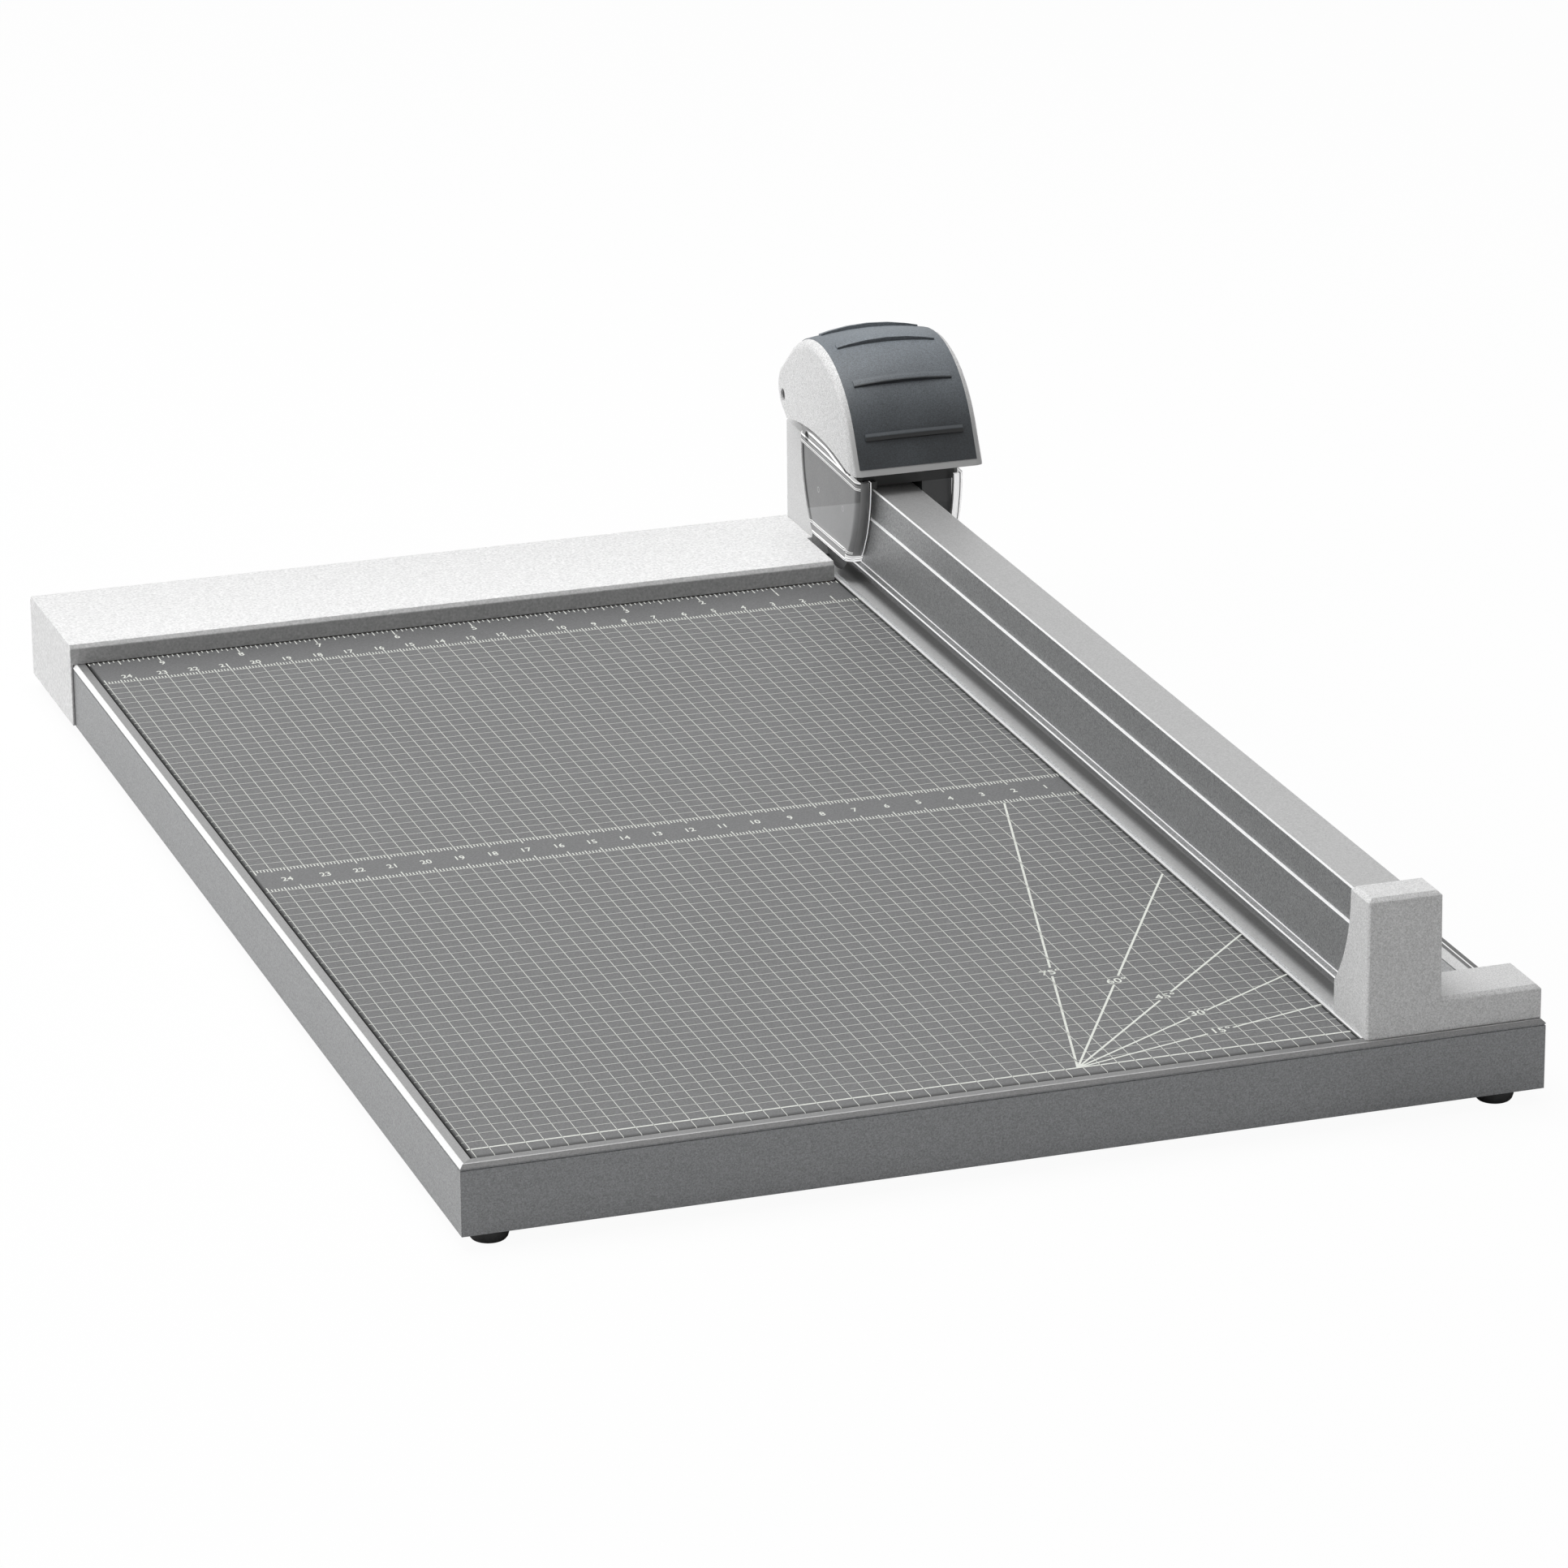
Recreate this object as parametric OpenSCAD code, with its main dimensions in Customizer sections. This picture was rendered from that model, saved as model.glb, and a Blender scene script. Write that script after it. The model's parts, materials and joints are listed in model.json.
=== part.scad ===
// Rolling-blade paper trimmer with a gridded cutting mat, a guide rail and a sliding cutter head.
// X runs across the board to the right, Y from the front edge to the back, Z up.
// The origin lies under the middle of the base, on the surface that the feet stand on.

/* [Base] */
// Overall width, over the header cover and the right frame rail
base_w = 307; // [270:1:400]
// Overall depth, over the front frame rail and the header cover
base_d = 491; // [430:1:600]
// Height of the frame rails
frame_h = 20; // [18:0.5:28]
// Wall of the frame rails
frame_wall = 2; // [1.5:0.1:2.5]
// Width of the rim on top of the frame rails
rim_w = 4; // [3.5:0.1:6]
// Bevel on the outer edge of the rim
rim_bevel = 1; // [0.5:0.1:1.3]
// Width of the lower flange of the frame rails
flange_w = 12; // [11:0.5:16]
// Thickness of the rim, ledge and flange of the frame rails
web_t = 1.6; // [1.2:0.1:2]

/* [Board and mat] */
// Thickness of the base board
board_t = 12; // [9:0.5:12.5]
// Thickness of the cutting mat
mat_t = 2; // [1.6:0.1:3]
// Gap round the mat and the board
mat_gap = 0.4; // [0.2:0.1:0.8]

/* [Feet] */
// Height of the rubber feet
foot_h = 4; // [3:0.5:8]
// Diameter of the rubber feet
foot_d = 11; // [10:0.5:14]
// Distance of the left feet from the left side
foot_inset_left = 9.3; // [9:0.1:11]
// Distance of the right feet from the right side
foot_inset_right = 11.7; // [9:0.1:12]
// Distance of the feet from the front and the back
foot_inset_y = 7; // [7:0.5:10]

/* [Header] */
// Depth of the header cover, front to back
header_d = 55.4; // [50:0.1:70]
// Height of the header cover above the mat
header_rise = 6.5; // [4:0.1:7]
// Sheet thickness of the header cover
cover_t = 0.8; // [0.6:0.1:1.2]

/* [Cutting bed] */
// Distance of the cutting line from the right side
cut_inset = 50.5; // [46:0.5:70]
// Width of the polished strip beside the mat, knife included
strip_w = 2.4; // [1.8:0.1:6]
// Thickness of the lower knife
knife_t = 1; // [0.6:0.1:1.2]
// Height of the lower knife
knife_h = 12; // [6:0.5:12]
// How far the offcut floor lies below the mat
floor_drop = 1.4; // [1.2:0.1:1.8]
// Thickness of the offcut floor
floor_t = 2; // [1.5:0.1:2.5]

/* [Guide rail] */
// Distance from the cutting line to the left face of the rail
rail_offset = 2.8; // [2.8:0.1:3.4]
// Width of the lower part of the rail
rail_w = 16.4; // [14:0.1:17]
// How far the upper part of the rail stands back on each side
rail_step = 0.8; // [0.5:0.1:1]
// Height of the rail
rail_h = 28.7; // [26:0.1:32]
// Height of the lower part of the rail, up to the step
rail_step_h = 18.8; // [16:0.1:20]
// Clear height between the mat and the rail
rail_lift = 6.6; // [5.4:0.1:7.4]
// Wall of the rail
rail_wall = 1.8; // [1.4:0.1:2]
// Reach of the lip along the foot of the rail
lip_w = 2; // [1:0.1:2]

/* [End blocks] */
// Width of the towers that hold the rail
tower_w = 21.9; // [21.5:0.1:26]
// Height of the towers above the mat
tower_h = 40.5; // [38:0.1:44]
// Depth of the front tower at its top
front_tower_d = 12.4; // [10:0.1:18]
// Depth of the rear tower at its top
rear_tower_d = 15.4; // [12:0.1:18]
// Height of the low shelf beside each tower
shelf_h = 9.6; // [8:0.1:10.5]
// Depth of the low shelf
shelf_d = 19.2; // [15:0.1:22]
// How far the blocks stand back from the outer face of the frame
block_inset = 1.7; // [1.5:0.1:3]
// Radius of the hollow curve on the towers and the guards
swoop_r = 44; // [40:1:60]
// Bevel on the edges of the end blocks
block_bevel = 1.2; // [0.6:0.1:1.5]
// Draft on the right side of the towers
tower_draft = 0.6; // [0:0.1:1]

/* [Cutter head] */
// Width of the cap
cap_w = 44.1; // [43:0.1:50]
// Wall of the cap
cap_wall = 1.9; // [1.4:0.1:2]
// Thickness of the rubber grip
grip_t = 1; // [0.6:0.1:1.2]
// Height of the ribs on the rubber grip
rib_h = 1.2; // [0.4:0.1:1.5]
// Thickness of the clear guards
guard_t = 1.2; // [0.8:0.1:1.3]
// Free travel of the head along the rail
travel = 394; // [330:1:395]
// Diameter of the pin that the cap turns on
pin_d = 4; // [3:0.1:5]

/* [Blade] */
// Diameter of the cutting disc
blade_d = 28; // [24:0.5:28]
// Thickness of the cutting disc
blade_t = 0.4; // [0.3:0.05:0.5]
// How far the raised disc clears the mat
blade_clear = 1.9; // [1.2:0.1:2.2]
// Working stroke of the disc
blade_stroke = 2.3; // [1.8:0.1:2.4]

/* [Hidden] */
$fn = 48;

// Levels and lines that the pieces share
x_right = base_w / 2;
x_left = -base_w / 2 + cover_t;
y_front = -base_d / 2;
y_back = base_d / 2 - cover_t;
z_top = foot_h + frame_h;
z_ledge = z_top - mat_t - board_t;
z_floor = z_top - floor_drop;
cut_x = x_right - cut_inset;
strip_x = cut_x - strip_w;
ledge_w = 9;
y_header = base_d / 2 - header_d;
z_header = z_top + header_rise;

// Right frame rail: width of its rim and where its inner slope meets the floor
right_rim_w = rim_w - 0.4;
right_lip_w = right_rim_w + 2.6;
floor_x = x_right - right_lip_w - 0.3;

// Guide rail
rail_x = cut_x + rail_offset;
z_rail = z_top + rail_lift;
z_step = z_rail + rail_step_h;
z_rail_top = z_rail + rail_h;
rail_mid_x = rail_x + rail_w / 2;
lip_z = 1.2;
lip_h = 2.15;
groove_z = z_rail + 7.4;
groove_h = 4;
groove_depth = 2.6;
socket_fit = 0.15;

// End blocks
tower_x = cut_x - 1.5;
tower_right = tower_x + tower_w;
shelf_right = x_right - 0.8;
z_tower = z_top + tower_h;
z_shelf = z_top + shelf_h;
swoop_top = z_tower - 2.5;
swoop_h = swoop_top - z_shelf;
swoop_d = swoop_r - sqrt(swoop_r * swoop_r - swoop_h * swoop_h);
front_block_y = y_front + block_inset;
rear_block_y = y_back - block_inset + cover_t;
front_tower_y = front_block_y + front_tower_d;
rear_tower_y = rear_block_y - rear_tower_d;
socket_wall = 3;

// Screws that hold the end blocks and the rail
screw_r = 1.9;
screw_head_r = 3.4;
screw_head_h = 2.4;
screw_top = z_rail + rail_wall - 0.4;
shelf_screw_x = (tower_right + shelf_right) / 2 - 1;
front_screw_y = front_block_y + 12;
rear_screw_y = rear_block_y - 12;

// Feet
foot_hole_r = 1.6;
foot_screw_r = 1.4;
foot_spots = [for (sx = [x_left + foot_inset_left, x_right - foot_inset_right])
    for (sy = [y_front + foot_inset_y, y_back - foot_inset_y]) [sx, sy]];

// Cutter head: guards, parked just in front of the rear tower
park_gap = 0.5;
guard_rear = rear_tower_y - park_gap;
guard_len = 58.7;
guard_front = guard_rear - guard_len;
guard_x = cut_x - 2.6;
guard_in_x = guard_x + guard_t;
wrap_end_x = rail_x - 0.4;
z_guard = z_shelf - 0.6;
guard_top_front = z_tower - 2;
guard_top_rear = z_tower - 0.3;
corner_r = 3;
rim_band = 2.2;
panel_depth = 0.3;
panel_edge = 3;

// Carriage
carriage_w = 34.2;
carriage_right = guard_in_x + carriage_w;
right_guard_x = carriage_right + guard_t;
z_saddle = z_rail_top + 1.2;
z_deck = z_saddle + 6;
leg_x = rail_x + rail_w + 1;
leg_right = carriage_right - 2.5;
cheek_x = rail_x - 0.2;
cheek_t = 2.5;
bay_y0 = guard_front + 13.8;
bay_y1 = guard_front + 43.8;

// Cap and the pin that it turns on
cap_x = cut_x - 5;
cap_mid_x = cap_x + cap_w / 2;
pin_y = guard_rear + 8.5;
pin_z = z_tower + 9.7;
pin_r = pin_d / 2;
cap_z = z_tower + 1.4;
crown = 0.076;
side_round = 2.5;
dome_y = pin_y - 30.4;
dome_z = pin_z - 14.2;
dome_r = 39.2;
heel_y = pin_y - 2.6;
heel_z = pin_z + 2.3;
heel_r = 9.1;
cap_front = dome_y - 41;

// Blade and its carrier
blade_r = blade_d / 2;
blade_x = cut_x + 0.05;
blade_y = guard_front + 28.8;
blade_z = z_top + blade_clear + blade_r;
plate_x = blade_x + blade_t + 0.65;
plate_t = cheek_x - 0.3 - plate_x;
axle_r = 1.45;
tab_z = z_deck + 12;
tab_t = 1.2;
spring_x = cheek_x + 8;
spring_y = blade_y - 8;
press_y = blade_y - 12;
guide_y = [blade_y - 8, blade_y + 8];
guide_z = z_deck + 6;

// Extrusion of a Y-Z outline along X, and of an X-Z outline along Y
module along_x(x0, x1) {
    translate([x0, 0, 0]) rotate([90, 0, 90]) linear_extrude(x1 - x0) children();
}

module along_y(y0, y1) {
    translate([0, y1, 0]) rotate([90, 0, 0]) linear_extrude(y1 - y0) children();
}

module block(x0, x1, y0, y1, z0, z1) {
    translate([x0, y0, z0]) cube([x1 - x0, y1 - y0, z1 - z0]);
}

// A pin or bore along X
module rod_x(x0, x1, y, z, r) {
    translate([x0, y, z]) rotate([0, 90, 0]) cylinder(r = r, h = x1 - x0);
}

function arc(cy, cz, r, a0, a1, n) =
    [for (i = [0:n]) let (a = a0 + (a1 - a0) * i / n) [cy + r * cos(a), cz + r * sin(a)]];

// Faces round n rows of m points, and two ways to close the ends: one flat face, or a strip
// between the outer half of the row and the inner half
function side_faces(n, m) = concat(
    [for (k = [0:n - 2]) for (s = [0:m - 1]) [k * m + s, (k + 1) * m + s, k * m + (s + 1) % m]],
    [for (k = [0:n - 2]) for (s = [0:m - 1])
        [k * m + (s + 1) % m, (k + 1) * m + s, (k + 1) * m + (s + 1) % m]]);

function skin_faces(n, m) = concat(
    [[for (s = [0:m - 1]) s]], side_faces(n, m), [[for (s = [m - 1:-1:0]) (n - 1) * m + s]]);

function strip_faces(n, m) = let (e = (n - 1) * m) concat(
    [for (i = [0:m / 2 - 2]) each [[i, i + 1, m - 1 - i], [i + 1, m - 2 - i, m - 1 - i]]],
    side_faces(n, m),
    [for (i = [0:m / 2 - 2]) each [
        [e + m - 1 - i, e + i + 1, e + i], [e + m - 1 - i, e + m - 2 - i, e + i + 1]]]);

// Depth of the hollow curve at a height, the same on towers and guards
function swoop(z) = let (h = min(max(swoop_top - z, 0), swoop_h + 1))
    swoop_r - sqrt(swoop_r * swoop_r - h * h);

// Frame rails: an open channel with a rim, a ledge for the board and a flange for the feet
ledge_u = z_ledge - foot_h;

function common_profile() = [
    [0, 0], [flange_w, 0], [flange_w, web_t], [frame_wall, web_t],
    [frame_wall, ledge_u - web_t], [ledge_w, ledge_u - web_t], [ledge_w, ledge_u], [frame_wall, ledge_u]];

function outer_edge() = [
    [rim_bevel, frame_h], [0, frame_h - rim_bevel], [0, frame_h - rim_bevel - 0.3],
    [0.25, frame_h - rim_bevel - 0.4], [0.25, frame_h - rim_bevel - 0.6], [0, frame_h - rim_bevel - 0.7]];

function rim_profile() = [
    [frame_wall, frame_h - web_t], [rim_w, frame_h - web_t], [rim_w, frame_h]];

function sloped_profile() = [
    [frame_wall, frame_h - floor_drop - web_t], [right_lip_w, frame_h - floor_drop - web_t],
    [right_lip_w, frame_h - floor_drop], [right_rim_w, frame_h]];

module mitred_rail(len, inner) {
    intersection() {
        rotate([90, 0, 90]) linear_extrude(len) polygon(concat(common_profile(), inner, outer_edge()));
        linear_extrude(frame_h) polygon([[0, 0], [len, 0], [len - flange_w, flange_w], [flange_w, flange_w]]);
    }
}

module foot_holes(r) {
    for (p = foot_spots) translate([p[0], p[1], -1]) cylinder(r = r, h = z_ledge);
}

module front_frame_rail() {
    color("#8d9094") difference() {
        translate([x_left, y_front, foot_h]) mitred_rail(x_right - x_left, rim_profile());
        foot_holes(foot_hole_r);
    }
}

module rear_frame_rail() {
    color("#8d9094") difference() {
        translate([x_right, y_back, foot_h]) rotate([0, 0, 180]) mitred_rail(x_right - x_left, rim_profile());
        foot_holes(foot_hole_r);
    }
}

module left_frame_rail() {
    color("#a5a8ab") difference() {
        translate([x_left, y_back, foot_h]) rotate([0, 0, -90]) mitred_rail(y_back - y_front, rim_profile());
        foot_holes(foot_hole_r);
    }
}

module right_frame_rail() {
    color("#a5a8ab") difference() {
        translate([x_right, y_front, foot_h]) rotate([0, 0, 90]) mitred_rail(y_back - y_front, sloped_profile());
        foot_holes(foot_hole_r);
    }
}

// Angle keys that lock the mitred corners, between the flange and the ledge
key_arm = 34;
key_z0 = foot_h + web_t;
key_z1 = z_ledge - web_t - 0.2;

module corner_key() {
    key_w = flange_w - frame_wall - 0.7;
    linear_extrude(key_z1 - key_z0) polygon([
        [0, 0], [key_arm, 0], [key_arm, key_w], [key_w, key_w], [key_w, key_arm], [0, key_arm]]);
}

module corner_keys() {
    edge = frame_wall + 0.2;
    color("#6f7275") difference() {
        union() {
            translate([x_left + edge, y_front + edge, key_z0]) corner_key();
            translate([x_right - edge, y_front + edge, key_z0]) rotate([0, 0, 90]) corner_key();
            translate([x_right - edge, y_back - edge, key_z0]) rotate([0, 0, 180]) corner_key();
            translate([x_left + edge, y_back - edge, key_z0]) rotate([0, 0, 270]) corner_key();
        }
        foot_holes(foot_screw_r + 0.05);
    }
}

// Board, mat and header
module base_board() {
    edge = frame_wall + mat_gap;
    color("#b9a88a") block(x_left + edge, strip_x - mat_gap, y_front + edge, y_back - edge,
        z_ledge, z_top - mat_t);
}

// Plate with its upper edges broken by a bevel
module bevelled_plate(x0, x1, y0, y1, z0, z1, b) {
    intersection() {
        along_y(y0, y1) polygon([[x0, z0], [x1, z0], [x1, z1 - b], [x1 - b, z1], [x0 + b, z1], [x0, z1 - b]]);
        along_x(x0, x1) polygon([[y0, z0], [y1, z0], [y1, z1], [y0 + b, z1], [y0, z1 - b]]);
    }
}

module cutting_mat() {
    color("#7f8283") bevelled_plate(x_left + rim_w + mat_gap, strip_x, y_front + rim_w + 0.1,
        y_header - 0.1, z_top - mat_t, z_top, mat_t / 4);
}

// Folded sheet cover over the rear of the board, with a skirt on the left and at the back
header_end = strip_x - 0.9;
header_return = rear_tower_y - swoop_d - 0.2;
header_bevel = 1.3;

module header_form(inset) {
    x0 = -base_w / 2 + inset;
    y1 = base_d / 2 - inset;
    z0 = foot_h - inset;
    y0 = y_header + inset;
    z1 = z_header - inset;
    along_x(x0, header_end - inset) polygon([
        [y0, z0], [y1, z0], [y1, z1 - header_bevel], [y1 - header_bevel, z1],
        [y0 + header_bevel, z1], [y0, z1 - header_bevel]]);
    along_x(header_end - inset - 0.01, tower_x - inset) polygon([
        [header_return + inset, z0], [y1, z0], [y1, z1 - header_bevel],
        [y1 - header_bevel, z1], [header_return + inset, z1]]);
}

module header_cover() {
    color("#f4f4f4") difference() {
        header_form(0);
        header_form(cover_t);
        block(-base_w / 2 + cover_t, x_right, y_header - 1, y_back, foot_h - 1, z_top);
    }
}

// Polished strip on edge between the mat and the lower knife
module edge_strip() {
    edge = frame_wall + mat_gap;
    color("#d2d4d6") difference() {
        along_y(y_front + edge, y_back - edge) polygon([
            [strip_x, z_ledge], [strip_x, z_top - 0.2], [strip_x + 0.2, z_top], [cut_x - knife_t, z_top],
            [cut_x - knife_t, z_ledge]]);
        rim_clearance();
    }
}

// Cutting bed: seat for the lower knife, lowered floor for the offcut, three legs
knife_z = z_top - knife_h;
leg_t = 2;
mid_leg_x = (cut_x + floor_x) / 2;

module cutting_bed() {
    edge = frame_wall + mat_gap;
    color("#c9cccf") difference() {
        along_y(y_front + edge, y_back - edge) polygon([
            [cut_x - knife_t, z_ledge], [cut_x - knife_t, knife_z], [cut_x, knife_z], [cut_x, z_floor],
            [floor_x, z_floor], [floor_x, z_ledge],
            [floor_x - leg_t, z_ledge], [floor_x - leg_t, z_floor - floor_t],
            [mid_leg_x + leg_t, z_floor - floor_t], [mid_leg_x + leg_t, z_ledge], [mid_leg_x, z_ledge],
            [mid_leg_x, z_floor - floor_t], [cut_x + leg_t, z_floor - floor_t], [cut_x + leg_t, z_ledge]]);
        rim_clearance();
        rail_screw_spots() translate([0, 0, z_ledge]) cylinder(r = screw_r + 0.3, h = z_top);
    }
}

// The front and rear rims reach over the ends of the bed, which is cut back there
module rim_clearance() {
    for (y = [y_front, y_back]) {
        block(strip_x - 1, x_right, y - rim_w - mat_gap, y + rim_w + mat_gap,
            z_top - web_t - 0.4, z_top + 1);
    }
}

module lower_knife() {
    color("#9fa3a6") block(cut_x - knife_t, cut_x, y_front + rim_w + mat_gap, y_back - rim_w - mat_gap,
        knife_z, z_top);
}

// Feet: domed rubber with a recessed screw into the corner key
module rubber_foot() {
    r = foot_d / 2;
    difference() {
        rotate_extrude() polygon([
            [0, 0], [r - 1, 0], [r - 0.4, foot_h * 0.2], [r - 0.1, foot_h * 0.45], [r, foot_h * 0.7],
            [r, foot_h], [0, foot_h]]);
        translate([0, 0, -1]) cylinder(r = foot_hole_r, h = foot_h + 2);
        translate([0, 0, -1]) cylinder(r = 2.4, h = 2.4);
    }
}

module rubber_feet() {
    color("#1c1c1d") for (p = foot_spots) translate([p[0], p[1], 0]) rubber_foot();
}

module foot_screws() {
    color("#b8babd") for (p = foot_spots) translate([p[0], p[1], 0]) {
        translate([0, 0, 0.3]) cylinder(r = 2.2, h = 1.1);
        translate([0, 0, 0.3]) cylinder(r = foot_screw_r, h = key_z1 - 0.5);
    }
}

// Guide rail: a hollow extrusion with a step on each side and a groove on its right side that
// keeps the head down
function rail_outline(c) = [
    [rail_x - c, z_rail - c], [rail_x - c, z_step - 0.3 + c], [rail_x + 0.3 - c, z_step + c],
    [rail_x + rail_step - c, z_step + c], [rail_x + rail_step - c, z_rail_top - 0.4 + c],
    [rail_x + rail_step + 0.4 - c, z_rail_top + c],
    [rail_x + rail_w - rail_step - 0.4 + c, z_rail_top + c],
    [rail_x + rail_w - rail_step + c, z_rail_top - 0.4 + c], [rail_x + rail_w - rail_step + c, z_step + c],
    [rail_x + rail_w - 0.3 + c, z_step + c], [rail_x + rail_w + c, z_step - 0.3 + c]];

function rail_groove(c) = [
    [rail_x + rail_w + c, groove_z + groove_h - c], [rail_x + rail_w - groove_depth + c, groove_z + groove_h - c],
    [rail_x + rail_w - groove_depth + c, groove_z + c], [rail_x + rail_w + c, groove_z + c],
    [rail_x + rail_w + c, z_rail - c]];

// Lip strip: a slope along the foot of the rail, held by a tongue in the rail's side
tongue_z = z_rail + rail_wall / 2 - 0.4;
tongue_w = rail_wall * 0.7;
tongue_h = 0.8;

function lip_outline(c) = [
    [rail_x - c, z_rail - c], [rail_x - lip_w - c, z_rail - c], [rail_x - lip_w - c, z_rail + lip_z + c],
    [rail_x - c, z_rail + lip_h + c]];

rail_y0 = front_block_y + socket_wall;
rail_y1 = rear_block_y - socket_wall;

module guide_rail() {
    w = rail_wall;
    in_right = rail_x + rail_w - groove_depth - w;
    color("#b4b7ba") difference() {
        along_y(rail_y0, rail_y1) polygon(concat(rail_outline(0), rail_groove(0)));
        block(rail_x + w, in_right, rail_y0 - 1, rail_y1 + 1, z_rail + w, z_step - w);
        block(rail_x + rail_step + w, rail_x + rail_w - rail_step - w, rail_y0 - 1, rail_y1 + 1,
            z_step, z_rail_top - w);
        rail_screw_spots() translate([0, 0, z_rail - 1]) cylinder(r = screw_r + 0.05, h = rail_wall + 2);
        block(rail_x - 1, rail_x + tongue_w + 0.02, rail_y0 - 1, rail_y1 + 1, tongue_z - 0.02,
            tongue_z + tongue_h + 0.02);
    }
}

module lip_strip() {
    color("#c3c6c9") along_y(rail_y0, rail_y1) polygon(concat(lip_outline(0), [
        [rail_x, tongue_z + tongue_h], [rail_x + tongue_w, tongue_z + tongue_h],
        [rail_x + tongue_w, tongue_z], [rail_x, tongue_z]]));
}

module rail_screw_spots() {
    for (y = [front_screw_y, rear_screw_y]) for (x = [rail_mid_x - 1.5, shelf_screw_x])
        translate([x, y, 0]) children();
}

module rail_screws() {
    color("#b8babd") rail_screw_spots() {
        translate([0, 0, z_floor - floor_t - screw_head_h]) cylinder(r = screw_head_r, h = screw_head_h);
        translate([0, 0, z_floor - floor_t - 0.1]) cylinder(r = screw_r, h = screw_top - z_floor + floor_t + 0.1);
    }
}

// End blocks: a tower with a hollow inner edge and a low shelf to its right
function tower_outline(d) = concat(
    [[0, z_top], [0, z_tower - block_bevel], [block_bevel, z_tower], [d - block_bevel, z_tower],
        [d, z_tower - block_bevel]],
    [for (i = [0:12]) let (z = swoop_top + (z_shelf - swoop_top) * i / 12) [d + swoop(z), z]],
    [[d + swoop_d, z_top]]);

module end_block(d) {
    b = block_bevel;
    back = d + swoop_d;
    intersection() {
        along_x(tower_x, tower_right) polygon(tower_outline(d));
        along_y(-1, back + 1) polygon([
            [tower_x, z_top], [tower_right, z_top], [tower_right, z_shelf],
            [tower_right - tower_draft, z_tower - b], [tower_right - tower_draft - b, z_tower],
            [tower_x + b, z_tower], [tower_x, z_tower - b]]);
        linear_extrude(z_tower + 1) polygon([
            [tower_x, b / 2], [tower_x + b / 2, 0], [tower_right - b / 2, 0], [tower_right, b / 2],
            [tower_right, back], [tower_x, back]]);
    }
    intersection() {
        along_x(tower_right - 1, shelf_right) polygon([
            [0, z_top], [0, z_shelf - b], [b, z_shelf], [shelf_d - b, z_shelf], [shelf_d, z_shelf - b],
            [shelf_d, z_top]]);
        along_y(-1, shelf_d + 1) polygon([
            [tower_right - 1, z_top], [shelf_right, z_top], [shelf_right, z_shelf - b],
            [shelf_right - b, z_shelf], [tower_right - 1, z_shelf]]);
    }
    // Foot of the block, seated on the lowered floor behind the rim
    block(cut_x + 1, floor_x - 0.3, rim_w + 1, shelf_d - 2, z_floor, z_top + 1);
}

module rail_socket() {
    along_y(rail_y0 - 0.1, rail_y1 + 0.1) {
        polygon(concat(rail_outline(socket_fit), rail_groove(socket_fit)));
        polygon(lip_outline(socket_fit));
    }
}

module block_bores() {
    rail_screw_spots() translate([0, 0, z_floor - 1]) cylinder(r = screw_r + 0.05, h = screw_top - z_floor + 1.2);
}

module front_end_block() {
    color("#c4c6c8") difference() {
        translate([0, front_block_y, 0]) end_block(front_tower_d);
        rail_socket();
        block_bores();
    }
}

module rear_end_block() {
    color("#ededed") difference() {
        translate([0, rear_block_y, 0]) mirror([0, 1, 0]) end_block(rear_tower_d);
        rail_socket();
        block_bores();
    }
}

// Side outline of the guards and of the carriage leg behind them, drawn in by an inset
function guard_outline(inset) = concat(
    [for (i = [0:12]) let (z = guard_top_front + (z_guard - guard_top_front) * i / 12)
        [guard_front + swoop(z) + inset, z + (i == 12 ? inset : 0)]],
    [for (i = [0:12]) let (z = z_guard + (guard_top_rear - z_guard) * i / 12)
        [guard_rear - swoop(z) - inset, z + (i == 0 ? inset : 0)]]);

// Plan of a guard: a channel with rounded corners, as distance from its outer face, distance
// from its end, and which end
function bend(r, end) = [for (i = [0:5]) let (a = 18 * i)
    [corner_r - r * sin(a), corner_r - r * cos(a), end]];

function turned(list) = [for (i = [len(list) - 1:-1:0]) list[i]];

function guard_plan(wrap) = concat(
    [[wrap, 0, 0]], bend(corner_r, 0), turned(bend(corner_r, 1)), [[wrap, 0, 1]],
    [[wrap, guard_t, 1]], bend(corner_r - guard_t, 1), turned(bend(corner_r - guard_t, 0)),
    [[wrap, guard_t, 0]]);

function guard_point(p, t, x_face, dir) = let (
    z = z_guard + t * ((p[2] == 0 ? guard_top_front : guard_top_rear) - z_guard),
    d = swoop(z) + p[1])
    [x_face + dir * p[0], p[2] == 0 ? guard_front + d : guard_rear - d, z];

module guard_skin(x_face, dir, wrap) {
    plan = dir > 0 ? turned(guard_plan(wrap)) : guard_plan(wrap);
    polyhedron(
        points = [for (i = [0:10]) for (p = plan) guard_point(p, i / 10, x_face, dir)],
        faces = strip_faces(11, len(plan)));
}

tab_z1 = z_deck - 0.5;
guard_screw_spots = [for (y = [guard_front + 11.5, guard_rear - 8.5]) [y, z_deck - 2.1]];

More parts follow.
